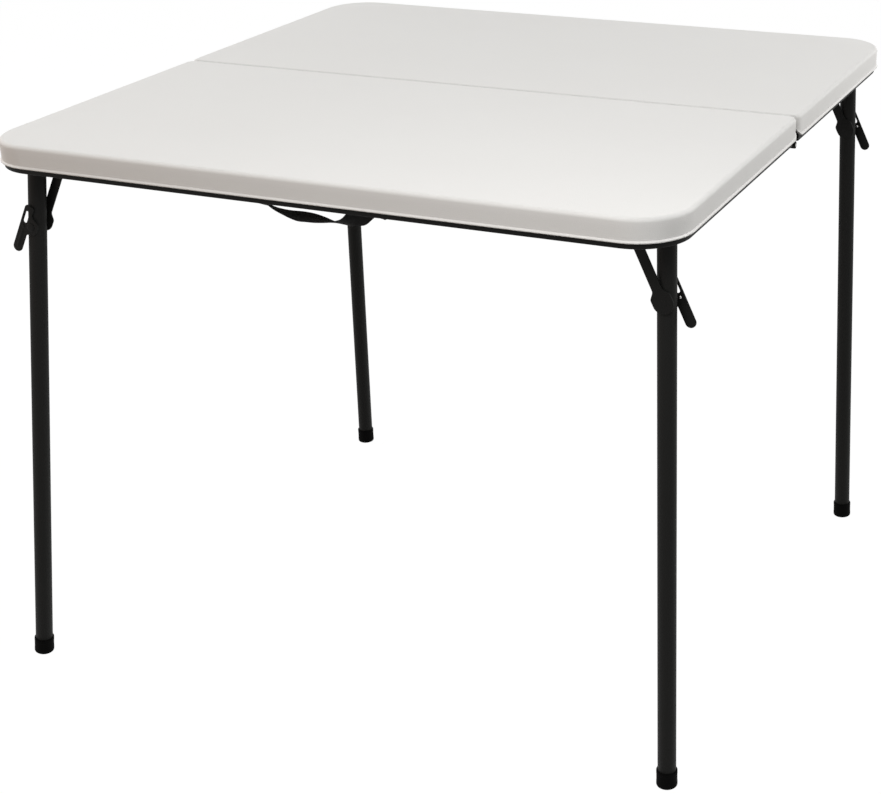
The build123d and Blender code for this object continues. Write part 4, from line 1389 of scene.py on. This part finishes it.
webbing_finish()
print("webbing finish ready, ribs", round(RIB_PITCH / MM, 2), "mm apart")

# %% [markdown]
# The stations are shares: along the strap's reach, of its bow away from the rail, of its sag, and of
# a quarter turn of its width.

# %% The strap's line
STRAP_REACH, STRAP_BOW, STRAP_SAG = 120 * MM, 11.5 * MM, 33 * MM
STRAP_SHARES = np.array([
    (-1.0, 0.0, 0.0, 1.0), (-0.82, 0.0, 0.02, 1.0), (-0.7, 0.09, 0.2, 1.0),
    (-0.57, 0.43, 0.58, 0.96), (-0.47, 0.65, 0.69, 0.89), (-0.39, 0.78, 0.81, 0.69),
    (-0.32, 0.87, 0.95, 0.38), (-0.18, 0.96, 1.0, 0.17), (-0.07, 1.0, 0.98, 0.0),
    (0.03, 1.0, 0.95, -0.1), (0.14, 0.96, 0.93, -0.13), (0.28, 0.91, 0.85, 0.06),
    (0.39, 0.83, 0.74, 0.22), (0.48, 0.74, 0.58, 0.42), (0.6, 0.57, 0.39, 0.67),
    (0.73, 0.26, 0.24, 0.87), (0.87, 0.0, 0.12, 1.0), (1.0, 0.0, 0.0, 1.0)])
STRAP_STEPS = 10


def smooth_through(stations, steps):
    """Curve through stations: on each span a cubic whose slopes are half the step past both ends."""
    before = 2 * stations[:1] - stations[1:2]
    after = 2 * stations[-1:] - stations[-2:-1]
    padded = np.concatenate([before, stations, after])
    p0, p1, p2, p3 = padded[:-3], padded[1:-2], padded[2:-1], padded[3:]
    t = np.linspace(0, 1, steps, endpoint=False)[None, :, None]
    curve = (2 * p1[:, None] + (p2 - p0)[:, None] * t + (2 * p0 - 5 * p1 + 4 * p2 - p3)[:, None] * t**2
             + (3 * p1 - p0 - 3 * p2 + p3)[:, None] * t**3) / 2
    return np.concatenate([curve.reshape(-1, stations.shape[1]), stations[-1:]])


def strap_line():
    """Centre line and width direction of the strap in the half's plan."""
    along, inward, drop, turned_by = smooth_through(STRAP_SHARES, STRAP_STEPS).T
    away = RAIL_FACE - STRAP_THICK / 2 - np.maximum(inward, 0) * STRAP_BOW
    centre = np.column_stack([along * STRAP_REACH, away, PIVOT_Z - drop * STRAP_SAG])
    tilt = turned_by * math.pi / 2
    width = np.column_stack([np.zeros_like(tilt), np.cos(tilt), np.sin(tilt)])
    return centre, width


strap_centre, strap_width = strap_line()
strap_run = unit_rows(np.gradient(strap_centre, axis=0))
strap_face = unit_rows(np.cross(strap_run, strap_width))
strap_steps = np.linalg.norm(np.diff(strap_centre, axis=0), axis=1)
strap_along = np.concatenate([[0], np.cumsum(strap_steps)])
STRAP_LONG = float(strap_along[-1])
print(f"the strap was cut {STRAP_LONG / MM:.0f} mm long and {STRAP_WIDE / MM:.0f} mm wide")

# %% [markdown]
# The ribbon's map holds metres along it and across it, so the weave keeps its size. Merging doubles
# gives the points new numbers, so the map is laid afterwards, by place.

# %% Ribbon surface with its map
ACROSS_STEPS = 17
EDGE_THIN, EDGE_POWER = 0.45, 10


def ribbon():
    """Ribbon: a flat section with round edges carried along the line, and its map in metres."""
    across = np.linspace(-1, 1, ACROSS_STEPS)
    thin = STRAP_THICK / 2 * (1 - EDGE_THIN * np.abs(across) ** EDGE_POWER)
    loop_w = np.concatenate([across, across[::-1]]) * STRAP_WIDE / 2
    loop_t = np.concatenate([thin, -thin])
    points = (strap_centre[:, None] + strap_width[:, None] * loop_w[None, :, None]
              + strap_face[:, None] * loop_t[None, :, None])
    rows, count = points.shape[:2]
    map_points = np.stack(np.broadcast_arrays(strap_along[:, None], loop_w[None, :]), axis=-1)
    part = (points, grid_faces(rows, count, False, True) + end_caps(rows, count))
    return part, map_points.reshape(-1, 2)


def lay_map(mesh, points, values):
    """Map named ribbon: each corner of a face takes the value of the nearest point it was made from."""
    tree = KDTree(len(points))
    for index, point in enumerate(points):
        tree.insert(point, index)
    tree.balance()
    layer = mesh.uv_layers.new(name="ribbon")
    found = values[[tree.find(vertex.co)[1] for vertex in mesh.vertices]]
    corner_of = np.empty(len(mesh.loops), int)
    mesh.loops.foreach_get("vertex_index", corner_of)
    layer.uv.foreach_set("vector", found[corner_of].astype(np.float32).ravel())


ribbon_part, ribbon_map = ribbon()
ribbon_placed = carried(ribbon_part, HALF_PLACE["near"])
mesh = build_mesh("carry_webbing", *ribbon_placed)
lay_map(mesh, ribbon_placed[0], ribbon_map)
strap = place_piece("carry_webbing", mesh, "near_half", "webbing", ["carry_strap"])
print("ribbon:", len(mesh.polygons), "faces")

# %% [markdown]
# Two lanes of thread run along both ends of the ribbon. Each stitch is a thin bow on its face.

# %% Stitches
STITCH_LONG, STITCH_R = 2.6 * MM, 0.28 * MM
STITCH_STEPS, STITCH_SIDES = 7, 6
STITCH_FIRST, STITCH_PITCH, STITCH_COUNT = 3 * MM, 3.4 * MM, 6
STITCH_LANE = 7.5 * MM
STITCH_FULL, STITCH_TAPER = 1.15, 0.4


def stitch(at_along, at_across, side):
    """One stitch: a thin bow on the ribbon's face, its height R (1 - t squared) over -1 < t < 1."""
    index = np.searchsorted(strap_along, at_along).clip(1, len(strap_along) - 2)
    centre = strap_centre[index] + strap_width[index] * at_across
    face = strap_face[index] * side
    t = np.linspace(-1, 1, STITCH_STEPS)[:, None]
    bow = face * (STRAP_THICK / 2 + STITCH_R * (1 - t**2))
    line = centre + strap_run[index] * t * STITCH_LONG / 2 + bow
    around = np.linspace(0, 2 * math.pi, STITCH_SIDES, endpoint=False)[:, None]
    ring = strap_width[index] * np.cos(around) + face * np.sin(around)
    points = line[:, None] + ring[None] * STITCH_R * (STITCH_FULL - STITCH_TAPER * t[..., None] ** 4)
    faces = grid_faces(STITCH_STEPS, STITCH_SIDES, False, True)
    return points, faces + end_caps(STITCH_STEPS, STITCH_SIDES)


stitches = []
for end in (0, 1):
    for lane in (-STITCH_LANE, STITCH_LANE):
        for step in range(STITCH_COUNT):
            at = STITCH_FIRST + step * STITCH_PITCH
            for side in (-1, 1):
                stitches.append(stitch(STRAP_LONG - at if end else at, lane, side))
stitching = dress("strap_stitches", join(*stitches), HALF_PLACE["near"], "near_half", "webbing")
print("stitches:", len(stitches))

# %% [markdown]
# ## What stays as solid
# The slotted tracks and the hinge leaves are flat steel whose shape is already right, so they keep
# their solid and only get paint.

# %% Paint the nodes that stay
slot_of = {part["node"]: part["material_slot"] for part in frame["record"]["subparts"]}
for node_name, node in frame["nodes"].items():
    node.data.materials.clear()
    node.data.materials.append(finishes[slot_of[node_name]])
print("pieces by finish:", piece_count)
